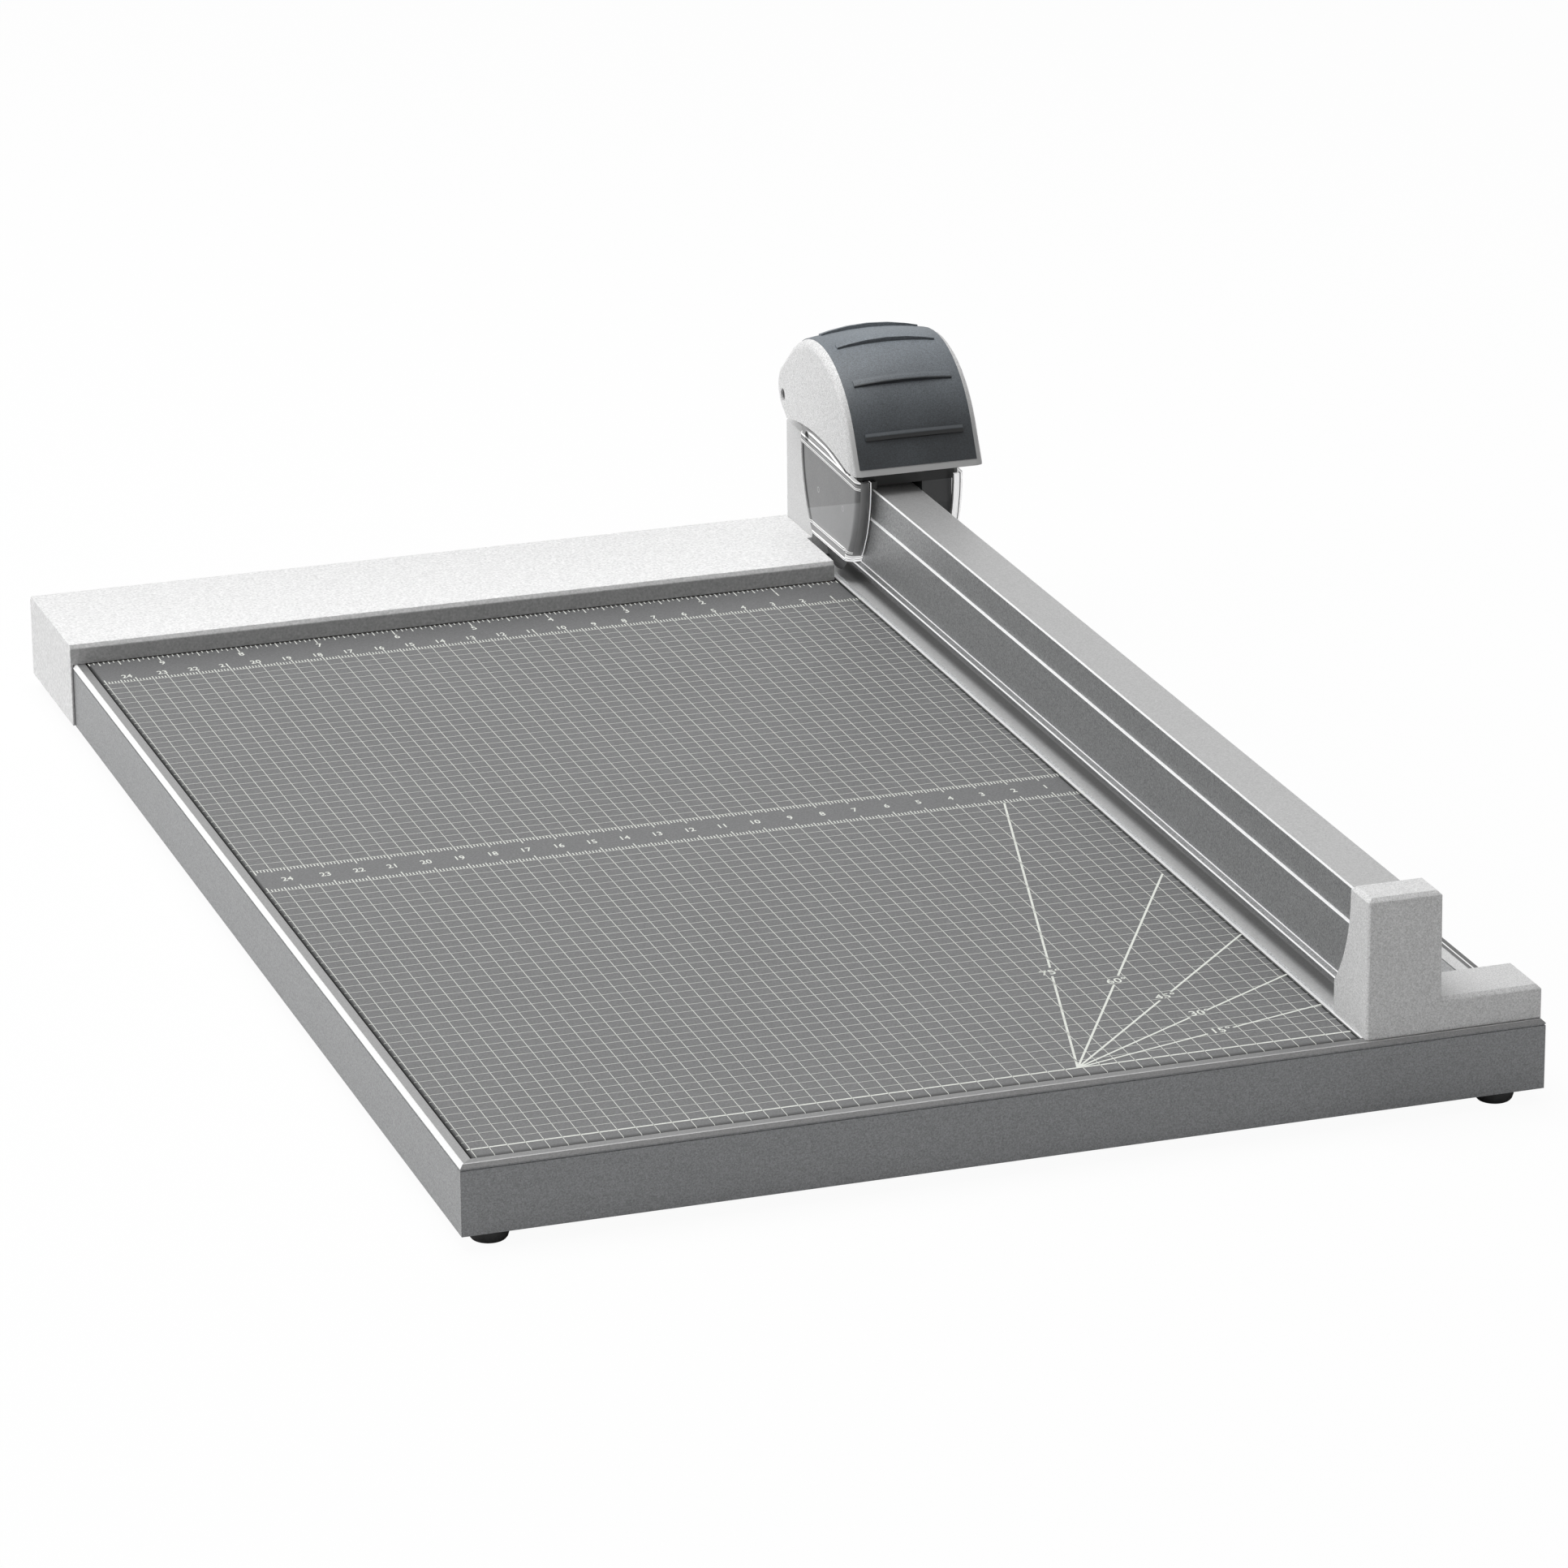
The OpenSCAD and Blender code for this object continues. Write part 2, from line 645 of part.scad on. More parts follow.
// Rims along the top and the foot of a guard, and the tab that is screwed to the deck
module guard_rims(x_face, dir) {
    x0 = min(x_face, x_face + dir * rim_band);
    along_x(x0, x0 + rim_band) {
        intersection() {
            polygon(guard_outline(corner_r));
            union() {
                translate([guard_front, z_guard - 1]) square([guard_len, 2.4]);
                polygon([[guard_front, guard_top_front - 2.2], [guard_rear, guard_top_rear - 3],
                    [guard_rear, guard_top_rear + 1], [guard_front, guard_top_front + 1]]);
            }
        }
    }
    t0 = min(x_face, x_face + dir * guard_t);
    along_x(t0, t0 + guard_t) polygon([
        [guard_front + 6, guard_top_front - 3], [guard_front + 10, tab_z1], [guard_rear - 6, tab_z1],
        [guard_rear - 2, guard_top_rear - 3]]);
}

module clear_guard(x_face, dir, wrap) {
    difference() {
        union() {
            guard_skin(x_face, dir, wrap);
            difference() {
                guard_rims(x_face, dir);
                deck_clearance();
            }
        }
        // Sunk panel between the rims
        along_x(x_face - panel_depth, x_face + panel_depth) intersection() {
            polygon(guard_outline(panel_edge + 1));
            polygon([[guard_front, z_guard + panel_edge], [guard_rear, z_guard + panel_edge],
                [guard_rear, guard_top_rear - panel_edge], [guard_front, guard_top_front - panel_edge]]);
        }
        for (s = guard_screw_spots) {
            rod_x(x_face - 2, x_face + 2, s[0], s[1], 1.2);
            rod_x(x_face - (dir > 0 ? 1 : 0.6), x_face + (dir > 0 ? 0.6 : 1), s[0], s[1], 1.75);
        }
    }
}

// Space that the deck fills between the guards, kept free of their rims
module deck_clearance() {
    block(guard_in_x, carriage_right, guard_front - 1, guard_rear + 1, z_saddle - 0.3, z_deck + 20);
}

module left_guard() {
    color("#dfe6ea", 0.5) {
        clear_guard(guard_x, 1, wrap_end_x - guard_x);
        // Brow that laps over the edge of the rail in front of the deck
        block(guard_x + corner_r, rail_x + 1.4, guard_front + 0.5, guard_front + 1.9, z_rail_top + 0.9,
            guard_top_front);
    }
}

module right_guard() {
    color("#dfe6ea", 0.5) clear_guard(right_guard_x, -1, 4);
}

module guard_screws() {
    color("#b8babd") for (s = guard_screw_spots) {
        rod_x(guard_x + 0.05, guard_x + 0.6, s[0], s[1], 1.7);
        rod_x(guard_x + 0.05, guard_x + 4, s[0], s[1], 1.1);
        rod_x(right_guard_x - 0.6, right_guard_x - 0.05, s[0], s[1], 1.7);
        rod_x(right_guard_x - 4, right_guard_x - 0.05, s[0], s[1], 1.1);
    }
}

// Carriage: a deck over the rail, a hollow leg on its right, a cheek for the blade carrier
// and two ears for the pin of the cap
ear_r = pin_r + 1.4;
ear_t = 3.6;
left_ear_x = guard_in_x + 1.4;
right_ear_x = carriage_right - 1.4 - ear_t;
deck_y0 = guard_front + guard_t + 1.3;
deck_y1 = guard_rear - guard_t - 0.3;
deck_corner = 1.6;
cheek_top = tab_z - blade_stroke - 0.6;

function deck_plan() = let (c = deck_corner, x0 = guard_in_x, x1 = carriage_right) [
    [x0 + c, deck_y0], [x1 - c, deck_y0], [x1, deck_y0 + c], [x1, deck_y1 - c], [x1 - c, deck_y1],
    [x0 + c, deck_y1], [x0, deck_y1 - c], [x0, deck_y0 + c]];

module carriage_ear(x0, x1) {
    difference() {
        union() {
            along_x(x0, x1) polygon([
                [guard_rear - 14, z_saddle + 1], [guard_rear - 3, z_saddle + 1], [guard_rear - 3, z_deck],
                [pin_y - 1, pin_z - ear_r * 0.95], [pin_y - 1, pin_z + ear_r * 0.95],
                [guard_rear - 14, z_deck + 2]]);
            rod_x(x0, x1, pin_y, pin_z, ear_r);
        }
        rod_x(x0 - 1, x1 + 1, pin_y, pin_z, pin_r + 0.02);
    }
}

module carriage_body() {
    color("#2a2b2d") difference() {
        union() {
            difference() {
                translate([0, 0, z_saddle]) linear_extrude(z_deck - z_saddle) polygon(deck_plan());
                block(guard_in_x - 1, cheek_x, bay_y0, bay_y1, z_saddle - 1, z_deck + 1);
            }
            along_x(leg_x, leg_right) intersection() {
                polygon(guard_outline(guard_t + 0.4));
                translate([deck_y0, z_guard + 1.5]) square([deck_y1 - deck_y0, z_deck - z_guard - 2]);
            }
            block(cheek_x, cheek_x + cheek_t, bay_y0 + 2, bay_y1 - 2, z_deck - 1, cheek_top);
            carriage_ear(left_ear_x, left_ear_x + ear_t);
            carriage_ear(right_ear_x, right_ear_x + ear_t);
        }
        // Hollow of the leg, open at its foot
        along_x(leg_x + 2, leg_right - 2) intersection() {
            polygon(guard_outline(guard_t + 3));
            translate([deck_y0, 0]) square([deck_y1 - deck_y0, z_saddle - 3]);
        }
        block(leg_x + 2, leg_right - 2, guard_front + 18, guard_rear - 18, 0, z_guard + 10);
        // Slots that guide the pins of the blade carrier
        for (y = guide_y) {
            rod_x(cheek_x - 1, cheek_x + cheek_t + 1, y, guide_z, 1.6);
            rod_x(cheek_x - 1, cheek_x + cheek_t + 1, y, guide_z - blade_stroke - 0.2, 1.6);
            block(cheek_x - 1, cheek_x + cheek_t + 1, y - 1.6, y + 1.6, guide_z - blade_stroke - 0.2, guide_z);
        }
        for (s = guard_screw_spots) {
            rod_x(guard_in_x - 1, guard_x + 4.2, s[0], s[1], 1.15);
            rod_x(right_guard_x - 4.2, carriage_right + 1, s[0], s[1], 1.15);
        }
    }
}

// Glide pads: a saddle on the rail and a tongue in its groove, at the front and at the back
pad_len = 13;
key_len = 9;
pad_spots = [guard_front + 5, guard_rear - pad_len - 4];
key_spots = [guard_front + swoop_d + 1, guard_rear - swoop_d - key_len - 1];
glide_fit = 0.05;

module glide_pads() {
    color("#e6e3d8") for (y = pad_spots) {
        along_y(y, y + pad_len) polygon([
            [cheek_x, z_step + 2], [rail_x + rail_step - glide_fit, z_step + 2],
            [rail_x + rail_step - glide_fit, z_rail_top + glide_fit],
            [rail_x + rail_w - rail_step - 1, z_rail_top + glide_fit],
            [rail_x + rail_w - rail_step - 1, z_saddle], [cheek_x, z_saddle]]);
    }
    color("#e6e3d8") for (y = key_spots) {
        along_y(y, y + key_len) polygon([
            [rail_x + rail_w + glide_fit, groove_z - 3], [leg_x, groove_z - 3], [leg_x, groove_z + groove_h + 3],
            [rail_x + rail_w + glide_fit, groove_z + groove_h + 3],
            [rail_x + rail_w + glide_fit, groove_z + groove_h - glide_fit],
            [rail_x + rail_w - groove_depth + 0.4, groove_z + groove_h - glide_fit],
            [rail_x + rail_w - groove_depth + 0.4, groove_z + glide_fit],
            [rail_x + rail_w + glide_fit, groove_z + glide_fit]]);
    }
}

module hinge_pin() {
    color("#55585b") rod_x(cap_x + 0.6, cap_x + cap_w - 0.6, pin_y, pin_z, pin_r);
}

// Lift spring: one wire wound as a helix between the deck and the tab of the carrier
wire_r = 0.4;
coil_r = 3;
coil_turns = 5;
coil_sides = 6;
coil_steps = 16;

function coil_point(k, s) = let (
    n = coil_turns * coil_steps,
    a = 360 * k / coil_steps,
    b = 360 * s / coil_sides,
    z = z_deck + wire_r + (tab_z - z_deck - 2 * wire_r) * k / n)
    [spring_x + (coil_r + wire_r * cos(b)) * cos(a), spring_y + (coil_r + wire_r * cos(b)) * sin(a),
        z + wire_r * sin(b)];

module lift_spring() {
    rows = coil_turns * coil_steps;
    color("#a9adb0") polyhedron(
        points = [for (k = [0:rows]) for (s = [0:coil_sides - 1]) coil_point(k, s)],
        faces = skin_faces(rows + 1, coil_sides));
}

// Cap: one side outline, swept across the width with rounded flanks and a crowned top
function cap_outline(inset) = concat(
    arc(dome_y, dome_z, dome_r - inset, 55, 150, 14),
    [[cap_front + inset, cap_z]],
    [[heel_y - 2, cap_z + 0.6]],
    arc(heel_y, heel_z, heel_r - inset, -65, 45, 7));

function cap_grow(u) = let (d = cap_w / 2 - abs(u), r = side_round)
    d >= r ? 0 : r - sqrt(r * r - (r - d) * (r - d));

cap_slices = concat([for (d = [0, 0.25, 0.9, 2.5, 5, 9, 15]) d - cap_w / 2], [0],
    [for (d = [15, 9, 5, 2.5, 0.9, 0.25, 0]) cap_w / 2 - d]);

function cap_section(u, grow, side) = let (f = 1 + crown * (1 - pow(2 * u / cap_w, 2)))
    [for (p = cap_outline(cap_grow(u) - grow))
        [cap_mid_x + u * (1 - 2 * side / cap_w), p[0], cap_z + (p[1] - cap_z) * f]];

module cap_form(grow, side, swell = 0) {
    rows = [for (u = cap_slices) cap_section(u, grow + swell * (1 - pow(2 * u / cap_w, 2)), side)];
    polyhedron(points = [for (r = rows) each r], faces = skin_faces(len(rows), len(rows[0])));
}

// Window for the rubber grip, from the brow behind the crown to just above the front edge
grip_side = 2.2;

module grip_window(extra) {
    x0 = cap_x + grip_side - extra;
    x1 = cap_x + cap_w - grip_side + extra;
    r = dome_r;
    along_x(x0, x1) polygon([
        [cap_front - r / 8, cap_z + 2 - extra], [dome_y - r * 0.255, cap_z + 2 - extra],
        [dome_y - r * 0.153, dome_z + r * 0.204], [dome_y + r * 0.357 + extra, dome_z + r * 0.765],
        [dome_y + r * 0.612 + extra, dome_z + r * 1.28], [cap_front - r / 8, dome_z + r * 1.28]]);
}

module cap_shell() {
    color("#e9eaea") {
        difference() {
            cap_form(0, 0);
            cap_form(-cap_wall, cap_wall);
            block(cap_x - 1, cap_x + cap_w + 1, cap_front - 2, pin_y + heel_r * 2, cap_z - 5, cap_z + 0.01);
            difference() {
                grip_window(0);
                cap_form(-grip_t, 0);
            }
            rod_x(cap_x - 1, cap_x + cap_w + 1, pin_y, pin_z, pin_r + 0.05);
            // Pockets that let the ears of the carriage turn inside the heel
            for (x = [left_ear_x, right_ear_x]) rod_x(x - 0.4, x + ear_t + 0.4, pin_y, pin_z, ear_r + 0.35);
        }
        // Bosses round the pin and the rib that presses on the blade carrier
        for (x = [cap_x + cap_wall - 0.2, cap_x + cap_w - cap_wall - 2.5]) difference() {
            rod_x(x, x + 2.7, pin_y, pin_z, 4.4);
            rod_x(x - 1, x + 4, pin_y, pin_z, pin_r + 0.05);
        }
        intersection() {
            block(spring_x - 1, spring_x + 3, press_y - 3, press_y + 3, tab_z + tab_t + 0.3, dome_z + dome_r + 5);
            cap_form(-cap_wall + 0.2, cap_wall);
        }
    }
}

// Rubber grip: fills the window and carries four cross ribs that follow the crown
rib_angles = [154.3, 127.2, 100.8, 78];
rib_inset = 5.5;
rib_w = 2.4;

module grip_cover() {
    color("#45484d") {
        intersection() {
            grip_window(-0.05);
            difference() {
                cap_form(0.15, 0);
                cap_form(-grip_t, 0);
            }
        }
        intersection() {
            along_x(cap_x + rib_inset, cap_x + cap_w - rib_inset) for (a = rib_angles)
                translate([dome_y, dome_z]) rotate(a) translate([dome_r - 3, -rib_w / 2]) square([dome_r * 0.3, rib_w]);
            grip_window(-0.05);
            difference() {
                cap_form(0.15, 0, rib_h);
                cap_form(-0.2, 0);
            }
        }
    }
}

// Blade carrier: a steel plate with the axle at its foot and a folded tab over the spring
module blade_carrier() {
    x0 = plate_x;
    x1 = plate_x + plate_t;
    color("#8f9396") difference() {
        union() {
            along_x(x0, x1) polygon(concat(
                arc(blade_y, blade_z, 4.5, 180, 360, 12),
                [[blade_y + 4.5, z_step + 4], [bay_y1 - 4, z_saddle - 1], [bay_y1 - 4, tab_z], [bay_y0 + 1, tab_z],
                    [bay_y0 + 1, z_saddle - 1], [blade_y - 4.5, z_step + 4]]));
            block(x0, spring_x + 5, bay_y0 + 1, spring_y + 5, tab_z, tab_z + tab_t);
            block(x0, x1, bay_y0 + 1, bay_y1 - 4, tab_z - 1, tab_z + tab_t);
        }
        rod_x(x0 - 1, x1 + 1, blade_y, blade_z, axle_r + 0.02);
        for (y = guide_y) rod_x(x0 - 1, x1 + 1, y, guide_z, 1.02);
    }
}

module carrier_pins() {
    color("#b8babd") for (y = guide_y) {
        rod_x(plate_x, cheek_x + cheek_t + 0.4, y, guide_z, 1);
        rod_x(plate_x + plate_t, cheek_x + cheek_t + 0.4, y, guide_z, 1.5);
        rod_x(cheek_x + cheek_t + 0.3, cheek_x + cheek_t + 1.3, y, guide_z, 2.4);
    }
}

module blade_axle() {
    color("#b8babd") {
        rod_x(blade_x - 0.75, plate_x + plate_t, blade_y, blade_z, axle_r);
        rod_x(guard_in_x + 0.35, blade_x - 0.75, blade_y, blade_z, 2.4);
    }
}

module blade_hub() {
    color("#e6e3d8") difference() {
        union() {
            rod_x(blade_x - 0.7, blade_x, blade_y, blade_z, 5);
            rod_x(blade_x - 0.1, blade_x + blade_t + 0.1, blade_y, blade_z, 3);
            rod_x(blade_x + blade_t, blade_x + blade_t + 0.5, blade_y, blade_z, 4.5);
        }
        rod_x(blade_x - 2, blade_x + 3, blade_y, blade_z, axle_r + 0.05);
    }
}

// Cutting disc: flat on the knife side, ground to an edge on the other
module cutting_disc() {
    color("#cfd2d4") difference() {
        translate([blade_x, blade_y, blade_z]) rotate([0, 90, 0]) rotate_extrude($fn = 96) polygon([
            [0, 0], [blade_r, 0], [blade_r, 0.06], [blade_r - 1.4, blade_t], [0, blade_t]]);
        rod_x(blade_x - 1, blade_x + 1, blade_y, blade_z, 3);
    }
}

front_frame_rail();
left_frame_rail();
right_frame_rail();
rear_frame_rail();
corner_keys();
base_board();
cutting_mat();
header_cover();
edge_strip();
cutting_bed();
lower_knife();
rubber_feet();
foot_screws();
front_end_block();
rear_end_block();
guide_rail();
lip_strip();
rail_screws();
carriage_body();
glide_pads();
left_guard();
right_guard();
guard_screws();
hinge_pin();
lift_spring();
cap_shell();
grip_cover();
blade_carrier();
carrier_pins();
blade_axle();
blade_hub();
cutting_disc();
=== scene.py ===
"""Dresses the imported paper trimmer: refined metalwork, printed mat, rubber grip and clear guards."""

import json
import logging
import math
from dataclasses import dataclass, field, replace
from enum import Enum
from functools import cached_property
from typing import Any, Sequence

import bpy
from mathutils import Matrix, Vector

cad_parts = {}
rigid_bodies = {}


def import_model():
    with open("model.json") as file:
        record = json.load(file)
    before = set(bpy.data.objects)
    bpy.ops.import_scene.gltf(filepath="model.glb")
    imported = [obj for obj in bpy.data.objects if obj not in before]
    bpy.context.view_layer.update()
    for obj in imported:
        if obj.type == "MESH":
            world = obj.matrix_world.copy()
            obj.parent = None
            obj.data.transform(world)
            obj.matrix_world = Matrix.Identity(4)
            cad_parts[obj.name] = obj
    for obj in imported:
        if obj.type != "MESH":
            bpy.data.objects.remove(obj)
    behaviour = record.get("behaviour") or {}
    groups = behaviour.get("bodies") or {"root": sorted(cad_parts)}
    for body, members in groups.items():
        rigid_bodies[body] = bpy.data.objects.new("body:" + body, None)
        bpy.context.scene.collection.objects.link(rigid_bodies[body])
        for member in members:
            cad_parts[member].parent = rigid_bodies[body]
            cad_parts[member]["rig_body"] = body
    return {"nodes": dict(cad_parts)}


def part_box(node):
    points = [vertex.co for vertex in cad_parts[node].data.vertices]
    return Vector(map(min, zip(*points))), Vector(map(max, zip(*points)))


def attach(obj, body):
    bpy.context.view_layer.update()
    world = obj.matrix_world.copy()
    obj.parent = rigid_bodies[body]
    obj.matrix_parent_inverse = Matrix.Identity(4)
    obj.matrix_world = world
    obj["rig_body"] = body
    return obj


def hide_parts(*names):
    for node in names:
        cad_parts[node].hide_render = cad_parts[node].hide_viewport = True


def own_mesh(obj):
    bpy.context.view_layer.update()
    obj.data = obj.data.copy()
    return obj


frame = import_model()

LOG = logging.getLogger("trimmer")
MM = 0.001
Triple = tuple[float, float, float]
Pair = tuple[float, float]
Stops = tuple[Pair, ...]
Object = bpy.types.Object
Material = bpy.types.Material
SIDES = ("left", "right", "front", "rear", "foot", "top")
# Tone of painted highlights: bevels, edge lines and steps painted near white for the light they catch.
PAINTED_HIGHLIGHT = 0.97
DOME_CENTRE = (206.0, 60.0)


def grey(level: float, tint: float = 0.0) -> Triple:
    """A neutral linear colour, at most white; a positive tint turns it a little to blue."""
    level = min(1.0, level)
    return (level * (1 - tint), level, level * (1 + tint))


def spread(tone: float, share: float, tint: float = 0.0) -> tuple[Triple, Triple]:
    """The dark and the pale colour that lie this share below and above a tone."""
    return grey(tone * (1 - share), tint), grey(tone * (1 + share), tint)


def added(name: str, data: Any) -> Object:
    """A new object in the scene."""
    obj = bpy.data.objects.new(name, data)
    bpy.context.scene.collection.objects.link(obj)
    return obj


def span(node: str) -> tuple[Vector, Vector]:
    """The lowest and the highest corner of a node's box, in millimetres."""
    low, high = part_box(node)
    return low / MM, high / MM


class Term:
    """A shader value on which Python's operators add Math nodes."""

    def __init__(self, bench: "Bench", socket: Any) -> None:
        """Keeps the bench that makes nodes and the socket that holds the value."""
        self.bench = bench
        self.socket = socket

    def math(self, operation: str, *others: Any, clamp: bool = False) -> "Term":
        """Adds one Math node with further inputs; clamp keeps its result between 0 and 1."""
        values = {0: self, **{i + 1: other for i, other in enumerate(others)}}
        made = self.bench.node("ShaderNodeMath", {"operation": operation, "use_clamp": clamp}, values)
        return Term(self.bench, made.outputs[0])

    def swapped(self, operation: str, other: float) -> "Term":
        """Adds one Math node with this term as its second input."""
        made = self.bench.node("ShaderNodeMath", {"operation": operation}, {0: other, 1: self})
        return Term(self.bench, made.outputs[0])

    def __add__(self, other: Any) -> "Term":
        """Sum."""
        return self.math("ADD", other)

    __radd__ = __add__

    def __sub__(self, other: Any) -> "Term":
        """Difference."""
        return self.math("SUBTRACT", other)

    def __rsub__(self, other: float) -> "Term":
        """Reflected difference."""
        return self.swapped("SUBTRACT", other)

    def __mul__(self, other: Any) -> "Term":
        """Product."""
        return self.math("MULTIPLY", other)

    __rmul__ = __mul__

    def __truediv__(self, other: Any) -> "Term":
        """Quotient."""
        return self.math("DIVIDE", other)

    def size(self) -> "Term":
        """Absolute value."""
        return self.math("ABSOLUTE")

    def ramp(self, start: float, stop: float) -> "Term":
        """0 before start, 1 after stop, straight in between."""
        return ((self - start) / (stop - start)).math("ADD", 0.0, clamp=True)

    def fall(self, start: float, stop: float) -> "Term":
        """1 before start, 0 after stop, straight in between."""
        return 1 - self.ramp(start, stop)

    def around(self, centre: Any, swing: float) -> "Term":
        """A level of 0 to 1 turned into a swing around another centre."""
        return (self - 0.5) * swing + centre

    def squared(self) -> "Term":
        """Square."""
        return self * self

    def within(self, centre: float, half: float, soft: float) -> "Term":
        """1 within half of centre, falling to 0 over the distance soft."""
        return (self - centre).size().fall(half, half + soft)

    def either(self, other: "Term") -> "Term":
        """The larger of two masks."""
        return self.math("MAXIMUM", other)


def layered(*parts: tuple[Term, float]) -> Any:
    """A level around 0.5 that each part moves by its weight."""
    level: Any = 0.5
    for part, weight in parts:
        level = part.around(level, weight)
    return level


class Bench:
    """Makes one material or world and the nodes in it."""

    def __init__(self, name: str, kind: Any = None) -> None:
        """Starts an empty node tree in a new material, or in a new item of another kind."""
        self.owner = (bpy.data.materials if kind is None else kind).new(name)
        self.owner.use_nodes = True
        self.tree = self.owner.node_tree
        self.tree.nodes.clear()

    @cached_property
    def place(self) -> Any:
        """The socket of the place on the object, in metres."""
        return self.node("ShaderNodeTexCoord").outputs["Object"]

    @cached_property
    def axes(self) -> tuple[Term, ...]:
        """The place's three coordinates, in millimetres."""
        parts = self.node("ShaderNodeSeparateXYZ", inputs={0: self.place})
        return tuple(Term(self, socket) / MM for socket in parts.outputs)

    def off(self, node: str, side: str) -> Term:
        """How far a place lies inward from one side of a node's box, in millimetres."""
        axis, far = divmod(SIDES.index(side), 2)
        place, face = self.axes[axis], span(node)[far][axis]
        return face - place if far else place - face

    def inset(self, node: str) -> Term:
        """How far a place lies inward from the nearer of a node's left and right sides."""
        return self.off(node, "left").math("MINIMUM", self.off(node, "right"))

    def node(self, kind: str, settings: dict[str, Any] | None = None,
             inputs: dict[Any, Any] | None = None) -> Any:
        """Adds a node.

        Args:
            kind: The node's type.
            settings: Attributes that are set first; "stops" are a ramp's (place, colour) pairs.
            inputs: Numbers, colours as tuples, sockets or terms by the input's name or number.

        Returns:
            The new node.
        """
        made = self.tree.nodes.new(kind)
        for key, value in (settings or {}).items():
            if key == "stops":
                while len(made.color_ramp.elements) < len(value):
                    made.color_ramp.elements.new(0.5)
                for element, (place, colour) in zip(made.color_ramp.elements, value):
                    element.position, element.color = place, (*colour, 1.0)
            else:
                setattr(made, key, value)
        for key, value in (inputs or {}).items():
            value = value.socket if isinstance(value, Term) else value
            if isinstance(value, bpy.types.NodeSocket):
                self.tree.links.new(value, made.inputs[key])
            else:
                made.inputs[key].default_value = (*value, 1.0) if isinstance(value, tuple) else value
        return made

    def noise(self, grain_mm: float, detail: float = 2.0, stretch: Triple = (1, 1, 1)) -> Term:
        """Noise of about this grain, drawn out along an axis by a stretch above 1."""
        place = self.node("ShaderNodeMapping", inputs={
            0: self.place, "Scale": [1 / s for s in stretch]})
        made = self.node("ShaderNodeTexNoise", inputs={
            "Vector": place.outputs[0], "Scale": 1 / (grain_mm * MM), "Detail": detail})
        return Term(self, made.outputs[0])

    def flecks(self, pitch_mm: float) -> Term:
        """A random level for each cell of about this pitch."""
        cells = self.node("ShaderNodeTexVoronoi", {"feature": "F1"}, {
            "Vector": self.place, "Scale": 1 / (pitch_mm * MM)})
        shades = self.node("ShaderNodeSeparateColor", inputs={0: cells.outputs["Color"]})
        return Term(self, shades.outputs[0])

    def blend(self, share: Any, low: Any, high: Any) -> Any:
        """Mixes two colours or colour sockets by a share from 0, all low, to 1, all high."""
        made = self.node("ShaderNodeMix", {"data_type": "RGBA"}, {"Factor": share, 6: low, 7: high})
        return made.outputs[2]

    def bump(self, height: Term, depth_mm: float, strength: float = 1.0) -> Any:
        """A normal from a height of 0 to 1 that stands for depth_mm."""
        made = self.node("ShaderNodeBump", inputs={
            "Strength": strength, "Distance": depth_mm * MM, "Height": height})
        return made.outputs[0]

    def close(self, **inputs: Any) -> Material:
        """Adds the surface shader, with _ for the space in its inputs' names, and the output."""
        named = {key.replace("_", " "): value for key, value in inputs.items()}
        shader = self.node("ShaderNodeBsdfPrincipled", inputs=named)
        self.node("ShaderNodeOutputMaterial", inputs={0: shader.outputs[0]})
        return self.owner

    def grained(self, colour: Any, grain: Term, rough: Pair, relief: Pair, **inputs: Any) -> Material:
        """Closes a material whose grain moves its roughness around a middle and stands in relief."""
        return self.close(Base_Color=colour, Roughness=grain.around(*rough),
                          Normal=self.bump(grain, *relief), **inputs)


@dataclass(frozen=True)
class Zone:
    """A part of a metal surface with its own tone and share of metal."""

    mask: Term
    tone: float
    metal: float


@dataclass(frozen=True)
class SatinAluminium:
    """Anodised metal: a fine even grain, faint draw lines along its length, and zones of painted light and
    shade.
    """

    name: str
    tone: float
    along: Triple = (1, 60, 1)
    roughness: float = 0.42
    metal: float = 0.8
    tint: float = 0.012
    grain: float = 0.25
    line_mm: float = 0.35
    speckle_mm: float = 0.4
    fleck_mm: float = 0.36
    zone_grain: float = 0.2

    def zones(self, bench: Bench) -> list[Zone]:
        """The zones that differ from the rest; none on a plain piece."""
        return []

    def build(self) -> Material:
        """Makes the material."""
        bench = Bench(self.name)
        lines = bench.noise(self.line_mm, 3, self.along)
        speckle = bench.noise(self.speckle_mm, 3)
        shade = layered((speckle, 1.1), (bench.flecks(self.fleck_mm), 0.45), (lines, 0.2))
        colour = bench.blend(shade, *spread(self.tone, 2 * self.grain, self.tint))
        metal: Any = self.metal
        for zone in self.zones(bench):
            own = bench.blend(shade, *spread(zone.tone, self.zone_grain))
            colour = bench.blend(zone.mask, colour, own)
            metal = zone.mask * (zone.metal - self.metal) + metal
        return bench.grained(colour, speckle, (self.roughness, 0.2), (0.006, 0.5), Metallic=metal)


